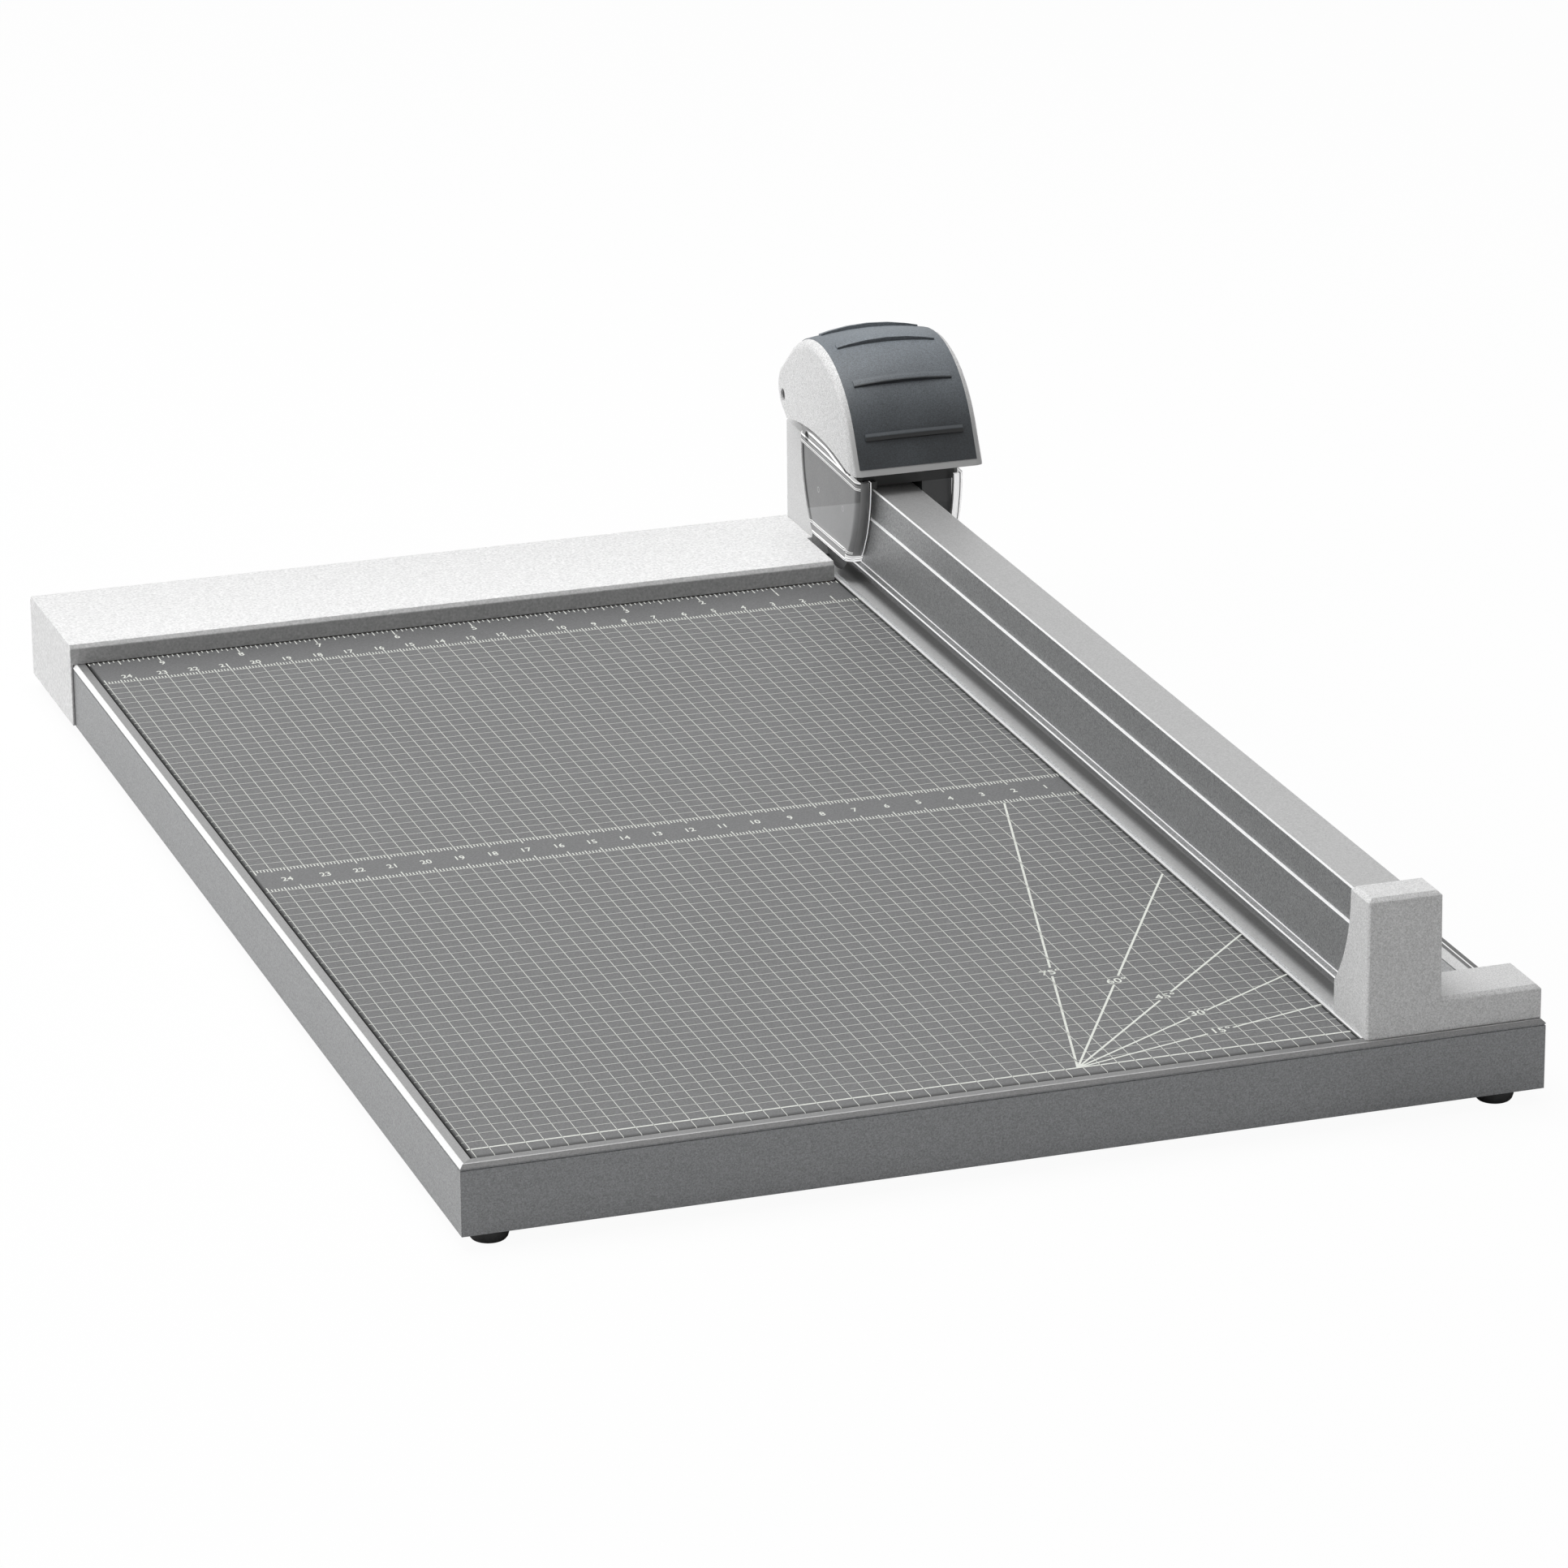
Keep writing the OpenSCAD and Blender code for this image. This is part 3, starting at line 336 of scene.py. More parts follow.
@dataclass(frozen=True)
class RimAluminium(SatinAluminium):
    """One frame rail: painted highlight on its bevel and on a line along its rim, and painted shade in the
    gap at the mat.
    """

    side: str = "left"
    rim_tone: float = 0.4
    bevel_tone: float = PAINTED_HIGHLIGHT
    bevel_metal: float = 0.0
    bevel: Pair = (0.98, 1.04)
    flat_foot: Pair = (0.06, 0.12)
    line_at: float = 1.15
    line_half: float = 0.2
    line_tone: float = PAINTED_HIGHLIGHT
    line_foot: Pair = (0.2, 0.25)
    gap_tone: float = 0.03
    gap_metal: float = 0.2
    gap_top: Pair = (0.12, 0.2)
    gap_foot: Pair = (3.0, 3.1)

    def zones(self, bench: Bench) -> list[Zone]:
        """The bevel, the flat of the rim and the line on it, painted as reflection and highlight, and the
        rim's inner edge, painted as shade in the gap; on the right rail the bevel is painted dark and the
        inner edge pale as lit.
        """
        depth, below = (bench.off(f"{self.side}_frame_rail", side) for side in (self.side, "top"))
        # Painted highlight on the bevel and on the line along the rim; painted reflection on the flat.
        past = depth.ramp(*self.bevel)
        bevel = (1 - past) * below.fall(*self.bevel)
        line = depth.within(self.line_at, self.line_half, 0.05) * below.fall(*self.line_foot)
        flat = past * below.fall(*self.flat_foot) * (1 - line)
        # Painted shade on the rim's inner face at the mat; on the right rail it is painted pale as lit.
        painted_gap = past * below.ramp(*self.gap_top) * below.fall(*self.gap_foot)
        return [Zone(bevel, self.bevel_tone, self.bevel_metal), Zone(flat, self.rim_tone, self.metal),
                Zone(line, self.line_tone, self.bevel_metal), Zone(painted_gap, self.gap_tone, self.gap_metal)]


@dataclass(frozen=True)
class RailAluminium(SatinAluminium):
    """The guide rail's extrusion, its top painted lighter as lit and its top corners and steps painted as
    highlight lines.
    """

    top_tone: float = 0.5
    flank: Pair = (1.22, 1.28)
    corner: Pair = (0.4, 0.44)
    top: Pair = (0.03, 0.06)
    step_at: float = 10.03
    step_half: float = 0.17

    def zones(self, bench: Bench) -> list[Zone]:
        """The top face, painted lighter as lit, and painted highlight lines on the top corners and on the
        steps.
        """
        below = bench.off("guide_rail", "top")
        flank = bench.inset("guide_rail").fall(*self.flank)
        corner = flank * below.fall(*self.corner)
        top = (1 - flank) * below.fall(*self.top)
        step = flank * below.within(self.step_at, self.step_half, 0.04)
        return [Zone(top, self.top_tone, self.metal), Zone(corner.either(step), PAINTED_HIGHLIGHT, 0.0)]


@dataclass(frozen=True)
class LipAluminium(SatinAluminium):
    """The lip strip, with a painted highlight line along both edges of its slope."""

    slope: Pair = (1.12, 1.18)
    left: Pair = (0.4, 0.46)
    right: Pair = (1.62, 1.68)

    def zones(self, bench: Bench) -> list[Zone]:
        """The two painted highlight lines."""
        across = bench.off("lip_strip", "left")
        line = across.fall(*self.left).either(across.ramp(*self.right))
        return [Zone(bench.off("lip_strip", "foot").ramp(*self.slope) * line, PAINTED_HIGHLIGHT, 0.0)]


@dataclass(frozen=True)
class StripAluminium(SatinAluminium):
    """The strip on edge beside the mat: painted dark as the gap's shade along its left, painted highlight
    from there on.
    """

    line: Pair = (0.3, 0.4)

    def zones(self, bench: Bench) -> list[Zone]:
        """The painted highlight."""
        return [Zone(bench.off("edge_strip", "left").ramp(*self.line), PAINTED_HIGHLIGHT, 0.0)]


@dataclass(frozen=True)
class BedAluminium(SatinAluminium):
    """The cutting bed: painted light beside the knife, made non-metal towards the guide rail so that it
    stays pale in the rail's shade, and painted shadow under the rail.
    """

    near_tone: float = 0.95
    shade_tone: float = 0.42
    deep_tone: float = 0.62
    near: Pair = (19.0, 21.0)
    under: Pair = (4.9, 7.3)
    matt: Pair = (2.0, 4.0)
    deep: Pair = (9.2, 9.5)

    def zones(self, bench: Bench) -> list[Zone]:
        """The painted light beside the knife, non-metal towards the rail, and the painted shadow under the
        rail, which lifts a little further in.
        """
        across = bench.off("cutting_bed", "left")
        near = across.fall(*self.near)
        under = across.ramp(*self.under) * near
        matt = across.ramp(*self.matt) * (1 - under) * near
        deep = across.ramp(*self.deep) * near
        # Painted light beside the knife, then painted shadow under the rail.
        return [Zone(near * (1 - under), self.near_tone, self.metal), Zone(matt, self.near_tone, 0.0),
                Zone(under, self.shade_tone, self.metal), Zone(deep, self.deep_tone, self.metal)]


@dataclass(frozen=True)
class PowderCoat:
    """Powder coat: a fine orange peel with faint flecks."""

    name: str
    tone: float
    fleck: float = 0.08
    roughness: float = 0.5
    peel_mm: float = 0.03
    grain_mm: float = 0.5

    def coat(self, bench: Bench, grain: Term) -> Any:
        """The coat's colour over the whole piece."""
        return self.shaded(bench, grain, self.tone)

    def shaded(self, bench: Bench, grain: Term, tone: float) -> Any:
        """The coat's colour around one tone."""
        return bench.blend(grain, *spread(tone, self.fleck))

    def build(self) -> Material:
        """Makes the material."""
        bench = Bench(self.name)
        peel = bench.noise(self.grain_mm, 2)
        grain = layered((bench.flecks(self.grain_mm * 0.65), 0.5), (peel, 1.6))
        return bench.grained(self.coat(bench, grain), peel, (self.roughness, 0.2), (self.peel_mm, 0.7))


@dataclass(frozen=True)
class HeaderCoat(PowderCoat):
    """The header's white coat; its front is grey, and its left side and the fold above the front carry
    painted shade.
    """

    front_tone: float = 0.41
    edge_tone: float = 0.46
    side_tone: float = 0.68
    fade: float = 0.07
    fade_from: float = 8.0
    side: Pair = (0.1, 0.2)
    fold: Pair = (1.15, 1.25)
    front: Pair = (0.1, 0.16)
    front_foot: Pair = (6.6, 6.7)

    def coat(self, bench: Bench, grain: Term) -> Any:
        """White, with the grey front, and painted shade on the folded edge above it and on the side."""
        low, high = span("header_cover")
        left, depth, below = (bench.off("header_cover", side) for side in ("left", "front", "top"))
        side = left.fall(*self.side)
        front = depth.fall(*self.front) * below.fall(*self.front_foot)
        colour = self.shaded(bench, grain, self.tone)
        for mask, tone in ((depth.ramp(self.fade_from, high.y - low.y), self.tone * (1 - self.fade)),
                           (side, self.side_tone), (depth.fall(*self.fold) * (1 - side), self.edge_tone),
                           (front * (1 - side), self.front_tone)):
            colour = bench.blend(mask, colour, self.shaded(bench, grain, tone))
        return colour


@dataclass(frozen=True)
class BlockCoat(PowderCoat):
    """The front block's coat, with painted shade on its front faces."""

    front_share: float = 0.86
    front: Pair = (0.1, 0.4)

    def coat(self, bench: Bench, grain: Term) -> Any:
        """The coat with painted shade on its front."""
        front = bench.off("front_end_block", "front").fall(*self.front)
        return bench.blend(front, self.shaded(bench, grain, self.tone),
                           self.shaded(bench, grain, self.tone * self.front_share))


@dataclass(frozen=True)
class MatVinyl:
    """The mat's printed plastic: a fine leathery grain, scuffs from cutting, and painted shade along its
    edges, on its sides and towards the header.
    """

    name: str = "mat_vinyl"
    tone: float = 0.155
    grain_mm: float = 0.6
    fleck_mm: float = 0.4
    cloud_mm: float = 55.0
    scuff_mm: float = 1.1
    front_rim: Pair = (0.3, 2.1)
    left_rim: Pair = (0.5, 1.0)
    far_rim: Pair = (0.0, 1.2)
    far_share: float = 0.6
    skin: Pair = (0.35, 0.5)
    head_shade: Pair = (-26.0, -2.0)
    head_share: float = 0.2

    def build(self) -> Material:
        """Makes the material."""
        bench = Bench(self.name)
        grain = bench.noise(self.grain_mm, 3)
        cloud = bench.noise(self.cloud_mm, 2)
        scuffs = bench.noise(self.scuff_mm, 2, (1, 14, 1)).ramp(0.62, 0.74)
        shade = layered((grain, 1.5), (bench.flecks(self.fleck_mm), 0.3), (cloud, 0.2))
        colour = bench.blend(shade, grey(self.tone * 0.6, 0.005), grey(self.tone * 1.36, 0.015))
        colour = bench.blend(scuffs * 0.12, colour, grey(self.tone * 1.6))
        front, left, rear, right, top = (
            bench.off("cutting_mat", side) for side in ("front", "left", "rear", "right", "top"))
        # Painted shade along the mat's edges and on its sides.
        rim = front.fall(*self.front_rim).either(left.fall(*self.left_rim))
        for rest in (rear, right):
            rim = rim.either(rest.fall(*self.far_rim) * self.far_share)
        # Painted shade on the mat in front of the header.
        shaded = bench.off("header_cover", "front").ramp(*self.head_shade) * self.head_share
        colour = bench.blend(shaded, colour, grey(0.05))
        colour = bench.blend(rim.either(top.ramp(*self.skin)), colour, grey(0.02))
        return bench.grained(colour, grain, (0.52, 0.2), (0.02, 0.5))


@dataclass(frozen=True)
class PrintInk:
    """Off-white ink, a little thin where the mat's grain shows through."""

    name: str
    tone: float
    thick: float = 1.12

    def build(self) -> Material:
        """Makes the material."""
        bench = Bench(self.name)
        thin, thick = self.tone, self.tone * self.thick
        colour = bench.blend(bench.noise(0.6, 2), (thin * 0.84, thin * 0.86, thin * 0.8),
                             (thick * 0.98, thick, thick * 0.94))
        return bench.close(Base_Color=colour, Roughness=0.55)


@dataclass(frozen=True)
class Moulded:
    """Moulded plastic: a spark-eroded grain, with flecks where it is speckled."""

    name: str
    tone: float
    tint: float = 0.0
    roughness: float = 0.45
    speckle: float = 0.0
    grain: float = 0.08
    grain_mm: float = 0.3
    fleck_mm: float = 0.28
    depth_mm: float = 0.012

    def shaded(self, bench: Bench, colour: Any) -> Any:
        """The colour with its places of another tone; none on a plain piece."""
        return colour

    def build(self) -> Material:
        """Makes the material."""
        bench = Bench(self.name)
        grain = bench.noise(self.grain_mm, 3)
        shade = bench.flecks(self.fleck_mm) * 0.7 + grain * 0.3 if self.speckle else grain
        colour = bench.blend(shade, *spread(self.tone, self.grain + self.speckle, self.tint))
        colour = self.shaded(bench, colour)
        return bench.grained(colour, grain, (self.roughness, 0.25), (self.depth_mm, 0.6))


@dataclass(frozen=True)
class CapPlastic(Moulded):
    """The cap's speckled plastic, painted greyer as shade towards its front edge but less so on its flanks.
    """

    centre: Pair = DOME_CENTRE
    # Tone of the painted shade on the cap's front.
    front_tone: float = 0.4
    front: Pair = (113.0, 158.0)
    flank: Pair = (0.05, 1.1)
    skin: Pair = (35.5, 39.5)
    skin_share: float = 0.45

    def shaded(self, bench: Bench, colour: Any) -> Any:
        """The colour with the front's painted shade, which fades out towards the crown."""
        y, z = (place - centre for place, centre in zip(bench.axes[1:], self.centre))
        front = z.math("ARCTAN2", y).ramp(*(math.radians(end) for end in self.front))
        skin = (y.squared() + z.squared()).math("SQRT").ramp(*self.skin) * self.skin_share
        share = front * bench.inset("cap_shell").ramp(*self.flank).either(skin)
        return bench.blend(share, colour, grey(self.front_tone))


@dataclass(frozen=True)
class DeckPlastic(Moulded):
    """The carriage's black plastic, blackest in the shade over the guide rail."""

    deck: Pair = (-1.2, -1.1)
    over: Pair = (-1.0, 1.0)

    def shaded(self, bench: Bench, colour: Any) -> Any:
        """The colour with the shaded deck."""
        deck = bench.off("guide_rail", "top").fall(*self.deck)
        colour = bench.blend(deck, colour, grey(0.02, 0.02))
        return bench.blend(deck * bench.off("guide_rail", "right").ramp(*self.over), colour, grey(0.003))


@dataclass(frozen=True)
class Rib:
    """The painted light on one rib of the grip: its place, where its painted shade lies in radians, how
    dark that is, and the strength of a painted highlight on its top.
    """

    degrees: float
    shade: float
    half: float
    dark: float
    worn: float = 0.0


@dataclass(frozen=True)
class GripRubber:
    """Soft slate rubber with painted light: a sheen that grows paler towards the crown, and darker at the
    brow.
    """

    name: str = "grip_rubber"
    low_tone: float = 0.023
    crown_tone: float = 0.235
    centre: Pair = DOME_CENTRE
    rib_end: Pair = (3.2, 3.4)
    ribs: tuple[Rib, ...] = (Rib(154.3, 0.017, 0.015, 0.97, 0.4), Rib(127.2, 0.027, 0.006, 0.75, 0.3),
                             Rib(100.8, 0.031, 0.003, 0.5), Rib(78.0, 0.031, 0.003, 0.35))

    def build(self) -> Material:
        """Makes the material."""
        bench = Bench(self.name)
        low, high = span("grip_cover")
        _, y, z = bench.axes
        height = z.ramp(low.z, high.z)
        grain = layered((bench.flecks(0.3), 0.5), (bench.noise(0.4, 3), 1.4))
        # Painted sheen that grows towards the crown, with a little random tone over it.
        worn = height.squared() * (height * 0.45 + 0.4) + height * 0.1 + (bench.noise(18, 1) - 0.5) * 0.25
        dull = bench.blend(worn, grey(self.low_tone * 0.5, 0.12), grey(self.crown_tone * 0.62, 0.1))
        pale = bench.blend(worn, grey(self.low_tone * 1.75, 0.15), grey(self.crown_tone * 1.4, 0.11))
        colour = bench.blend(grain, dull, pale)
        turn = (z - self.centre[1]).math("ARCTAN2", y - self.centre[0])
        over = bench.inset("grip_cover").ramp(*self.rib_end)
        for rib in self.ribs:
            place = math.radians(rib.degrees)
            # Painted shade under each rib.
            shade = turn.within(place + rib.shade, rib.half, 0.005) * over * rib.dark
            colour = bench.blend(shade, colour, grey(0.004, 0.1))
            if rib.worn:
                # Painted highlight along the top of each rib.
                shine = turn.within(place - 0.018, 0.008, 0.008) * over * rib.worn
                colour = bench.blend(shine, colour, grey(0.2, 0.08))
        return bench.grained(colour, grain, (0.5, 0.1), (0.012, 0.5))


@dataclass(frozen=True)
class ClearPlastic:
    """Clear polycarbonate guard: a grey veil over its panel and painted highlights, streaks of light in its
    thick edges.

    Each list of streaks holds pairs in percent: a place across the edge and the tone there.
    """

    name: str
    side: str
    wrap: Stops
    wrap_from: float = 1.3
    thick_mm: float = 5.0
    upper: float = 0.155
    lower: float = 0.27
    split: Pair = (110.1, 110.5)
    split_slope: float = 0.32
    # Strength of the painted glow in the brightest streaks.
    glow: float = 0.42
    marks: Stops = ((208.9, 49.3), (184.7, 49.8))
    mark_mm: float = 0.85
    top_mm: float = 2.9
    top_drop: float = 3.5
    top_slope: float = 0.029
    crest_foot: Pair = (-0.3, -0.2)
    foot_mm: float = 4.2
    corner_mm: float = 2.5
    corner_deep: Pair = (12.5, 13.0)
    rear: Pair = (216.0, 221.0)
    arch_place: Pair = (213.0, 67.3)
    arch_bend: float = 0.0037
    top: Stops = (
        (0, 95), (13, 95), (18, 8), (30, 12), (38, 30), (60, 26), (64, 8), (68, 90), (75, 90), (79, 30),
        (86, 30), (88, 85), (93, 85), (97, 6), (100, 12))
    foot: Stops = (
        (0, 95), (6, 95), (8, 6), (12, 6), (14, 95), (25, 95), (28, 20), (74, 26), (78, 90), (82, 90),
        (85, 20), (89, 20), (91, 90), (95, 90), (100, 10))
    crest: Stops = (
        (0, 8), (6, 25), (10, 30), (13, 95), (30, 95), (36, 10), (42, 30), (58, 40), (62, 10), (68, 30),
        (80, 35), (100, 30))
    curl: Stops = (
        (0, 95), (30, 95), (36, 10), (42, 90), (74, 95), (80, 20), (86, 90), (100, 80))

    def veil(self, bench: Bench, cloud: Term) -> Any:
        """The panel's grey, painted darker above a slanting line, where darker things are seen through it.
        """
        _, y, z = bench.axes
        panel = bench.blend((z + y * self.split_slope).ramp(*self.split),
                            grey(self.lower, 0.01), grey(self.upper, 0.01))
        return bench.blend(cloud * 0.1 + (bench.flecks(0.35) - 0.5) * 0.12, panel, grey(0.45))

    def build(self) -> Material:
        """Makes the material."""
        bench = Bench(self.name)
        _, y, z = bench.axes
        depth, back, foot, below = (
            bench.off(f"{self.side}_guard", side) for side in (self.side, "front", "foot", "top"))
        top = below + back * self.top_slope - self.top_drop
        crest = top.fall(*self.crest_foot)
        arch = self.arch_place[1] - (y - self.arch_place[0]).squared() * self.arch_bend - z
        corner = foot.fall(self.corner_mm - 0.1, self.corner_mm + 0.1) * back.fall(*self.corner_deep)
        wrap = depth.ramp(self.wrap_from - 0.05, self.wrap_from + 0.05)
        cloud = bench.noise(9, 2)
        wave = bench.noise(4, 2, (1, 5, 1)) - 0.5
        colour = self.veil(bench, cloud)
        # Painted highlights: streaks of light across the foot, the top, the crest, the front wrap and the
        # foot corner.
        for mask, stops, place, wide in (
                (foot.fall(self.foot_mm, self.foot_mm + 0.1), self.foot, foot + wave * 0.3, self.foot_mm),
                (top.fall(self.top_mm, self.top_mm + 0.1), self.top, top + wave * 0.2, self.top_mm),
                (crest, self.crest, arch + wave * 1.2, self.thick_mm),
                (wrap, self.wrap, depth + wave * 0.15, self.thick_mm),
                (corner, self.curl, foot + wave * 1.2, self.corner_mm)):
            greys = [(at / 100, grey(tone / 100)) for at, tone in stops]
            streaks = bench.node("ShaderNodeValToRGB", {"stops": greys}, {0: place / wide})
            colour = bench.blend(mask, colour, streaks.outputs[0])
        # Painted glints: a pale ring on each of two small moulded marks.
        for at_y, at_z in self.marks:
            away = ((y - at_y).squared() + (z - at_z).squared()).math("SQRT")
            ring = away.within(self.mark_mm, 0.12, 0.1) * depth.fall(1.0, 1.1) * 0.6
            colour = bench.blend(ring, colour, grey(0.5))
        colour = bench.blend(y.ramp(*self.rear) * crest, colour, grey(0.3))
        # Painted glow: the brightest streaks emit light, though the guard is no lamp.
        light = bench.blend(Term(bench, colour).ramp(0.6, 0.9), grey(0.0), grey(self.glow))
        return bench.close(
            Base_Color=colour, Roughness=cloud * 0.05 + 0.08, Alpha=cloud * 0.06 + 0.88, IOR=1.5,
            Emission_Color=light, Emission_Strength=1.0)


@dataclass(frozen=True)
class Steel:
    """Bright, zinc-plated or blackened steel with turning or grinding lines."""

    name: str
    tone: float
    roughness: float = 0.3
    stretch: Triple = (1, 1, 8)

    def build(self) -> Material:
        """Makes the material."""
        bench = Bench(self.name)
        lines = bench.noise(0.25, 3, self.stretch)
        colour = bench.blend(lines, grey(self.tone * 0.85), grey(self.tone * 1.15, 0.01))
        return bench.grained(colour, lines, (self.roughness, 0.2), (0.003, 0.5), Metallic=1.0)


@dataclass(frozen=True)
class FibreBoard:
    """Raw fibre board: matted brown fibres."""

    name: str = "fibre_board"

    def build(self) -> Material:
        """Makes the material."""
        bench = Bench(self.name)
        fibres = bench.noise(0.9, 5, (1, 3, 1))
        cloud = bench.noise(12, 3)
        colour = bench.blend(fibres * 0.7 + cloud * 0.3, (0.16, 0.1, 0.055), (0.42, 0.3, 0.18))
        return bench.close(Base_Color=colour, Roughness=0.85, Normal=bench.bump(fibres, 0.05, 0.7))


class Bin(Enum):
    """The finish of each material slot in the record."""

    LEFT = RimAluminium("left_aluminium", 0.3, rim_tone=0.37)
    # Right rail: rim flat and bevel painted dark as reflection, a highlight line further in, inner face
    # painted pale as lit.
    RIGHT = RimAluminium("right_aluminium", 0.3, side="right", rim_tone=0.16, bevel_tone=0.16,
                         bevel_metal=0.8, line_at=2.6, gap_tone=0.66)
    # Front and rear rails: dimmer painted highlight on the bevel and the line.
    FRONT = RimAluminium("front_aluminium", 0.21, (60, 1, 1), tint=0.02, side="front", rim_tone=0.28,
                         bevel_tone=0.23, bevel_metal=0.6, line_tone=0.5, grain=0.18)
    REAR = replace(FRONT, name="rear_aluminium", side="rear")
    RAIL = RailAluminium("rail_aluminium", 0.36, roughness=0.46)
    LIP = LipAluminium("lip_aluminium", 0.27)
    STRIP = StripAluminium("strip_aluminium", 0.12)
    BED = BedAluminium("bed_aluminium", 0.38, metal=0.35, roughness=0.5)
    LEDGE = SatinAluminium("lower_knife_steel", 0.68, metal=0.35, roughness=0.5)
    ZINC = Steel("zinc_steel", 0.6)
    DARK = Steel("dark_steel", 0.12, 0.4)
    KNIFE = Steel("knife_steel", 0.42, 0.25, (1, 20, 1))
    BOARD = FibreBoard()
    MAT = MatVinyl()
    HEADER = HeaderCoat("header_coat", 0.83, 0.2, peel_mm=0.06, grain_mm=0.9)
    WHITE = PowderCoat("white_coat", 0.65, 0.17, grain_mm=0.4)
    BLOCK = BlockCoat("block_coat", 0.69, 0.26, grain_mm=0.42)
    FOOT = Moulded("foot_rubber", 0.018, 0.0, 0.6)
    BLACK = DeckPlastic("black_plastic", 0.09, 0.02, 0.4)
    PAD = Moulded("dark_acetal", 0.025, 0.0, 0.35)
    ACETAL = Moulded("white_acetal", 0.72, -0.03, 0.35)
    CLEAR_LEFT = ClearPlastic("clear_guard_left", "left", (
        (0, 34), (27, 34), (50, 28), (79, 20), (81, 1), (85.5, 1), (87.5, 90), (93.5, 90), (96, 5)))
    CLEAR_RIGHT = ClearPlastic("clear_guard_right", "right", (
        (0, 10), (7, 10), (10, 95), (26, 95), (28, 2), (33, 2), (36, 95), (74, 95), (78, 2)), wrap_from=0.3)
    CAP = CapPlastic("speckled_cap", 0.74, 0.0, 0.45, 0.3)
    GRIP = GripRubber()
    INK = PrintInk("mat_ink", 0.8)

    @cached_property
    def material(self) -> Material:
        """The finish's material, built when it is first asked for."""
        return self.value.build()


class Shop:
    """The modelling steps that the sub-assemblies share."""

    @staticmethod
    def only(*objs: Object) -> None:
        """Selects these objects alone and makes the first one active."""
        bpy.ops.object.select_all(action="DESELECT")
        for obj in objs:
            obj.select_set(True)
        bpy.context.view_layer.objects.active = objs[0]

    @staticmethod
    def settle() -> Object:
        """Applies the active object's place, turn and scale to its mesh and returns it."""
        obj = bpy.context.view_layer.objects.active
        Shop.only(obj)
        bpy.ops.object.transform_apply(location=True, rotation=True, scale=True)
        return obj

    @staticmethod
    def apply(obj: Object, kind: str, **settings: Any) -> None:
        """Adds a modifier with these settings and applies it."""
        modifier = obj.modifiers.new(kind.lower(), kind)
        for key, value in settings.items():
            setattr(modifier, key, value)
        Shop.only(obj)
        bpy.ops.object.modifier_apply(modifier=modifier.name)

    @staticmethod
    def box(low: Sequence[float], high: Sequence[float]) -> Object:
        """Adds a block between two corners, in millimetres, with its place in its mesh."""
        centre = [(a + b) / 2 * MM for a, b in zip(low, high)]
        bpy.ops.mesh.primitive_cube_add(size=1, location=centre)
        bpy.context.active_object.scale = [(b - a) * MM for a, b in zip(low, high)]
        return Shop.settle()

    @staticmethod
    def row(obj: Object, count: int, step: Sequence[float]) -> Object:
        """Repeats a mesh count times, each one step further on, in millimetres."""
        if count > 1:
            Shop.apply(obj, "ARRAY", count=count, use_relative_offset=False, use_constant_offset=True,
                       constant_offset_displace=[s * MM for s in step])
        return obj

    @staticmethod
    def join(name: str, objs: Sequence[Object]) -> Object:
        """Joins meshes into one object of this name."""
        Shop.only(*objs)
        if len(objs) > 1:
            bpy.ops.object.join()
        obj = bpy.context.view_layer.objects.active
        obj.name = obj.data.name = name
        return obj

    def paint(self, obj: Object, finish: Bin) -> None:
        """Gives an object one finish all over."""
        slots = obj.data.materials
        slots.clear()
        slots.append(finish.material)

    def dress(self, node: str, finish: Bin) -> None:
        """Gives a CAD node its finish and leaves its shape alone."""
        self.paint(frame["nodes"][node], finish)

    def refine(self, node: str, finish: Bin, round_mm: float = 0.15, segments: int = 2,
               angle: float = 32.0, cutters: Sequence[Object] = ()) -> Object:
        """Makes a copy of a CAD node with merged faces, softened edges and smooth shading.

        Args:
            node: The node that the copy stands for.
            finish: Its finish.
            round_mm: The width of the softened edges; 0 leaves them as they are.
            segments: How many faces a softened edge has.
            angle: The angle between faces, in degrees, from which an edge is softened.
            cutters: Solids that are cut out of the copy and then removed.

        Returns:
            The piece, riding on the node's body.
        """
        source = frame["nodes"][node]
        body = source["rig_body"]
        obj = added(f"{node}_piece", source.data.copy())
        self.only(obj)
        bpy.ops.object.mode_set(mode="EDIT")
        bpy.ops.mesh.select_all(action="SELECT")
        bpy.ops.mesh.remove_doubles(threshold=0.002 * MM)
        bpy.ops.mesh.dissolve_limited(angle_limit=math.radians(0.6))
        bpy.ops.object.mode_set(mode="OBJECT")
        for cutter in cutters:
            self.apply(obj, "BOOLEAN", operation="DIFFERENCE", solver="EXACT", object=cutter)
            bpy.data.objects.remove(cutter)
        if round_mm:
            self.apply(obj, "BEVEL", width=round_mm * MM, segments=segments, limit_method="ANGLE",
                       angle_limit=math.radians(angle), use_clamp_overlap=True, miter_outer="MITER_SHARP")
        self.only(obj)
        bpy.ops.object.shade_smooth_by_angle(angle=math.radians(angle))
        self.apply(obj, "WEIGHTED_NORMAL", keep_sharp=True, weight=50)
        self.paint(obj, finish)
        self.own(obj, body, node)
        return obj

    @staticmethod
    def own(obj: Object, body: str, *nodes: str) -> None:
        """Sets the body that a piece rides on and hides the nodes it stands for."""
        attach(obj, body)
        if nodes:
            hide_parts(*nodes)
        LOG.info("%s rides on %s: %d faces", obj.name, body, len(obj.data.polygons))


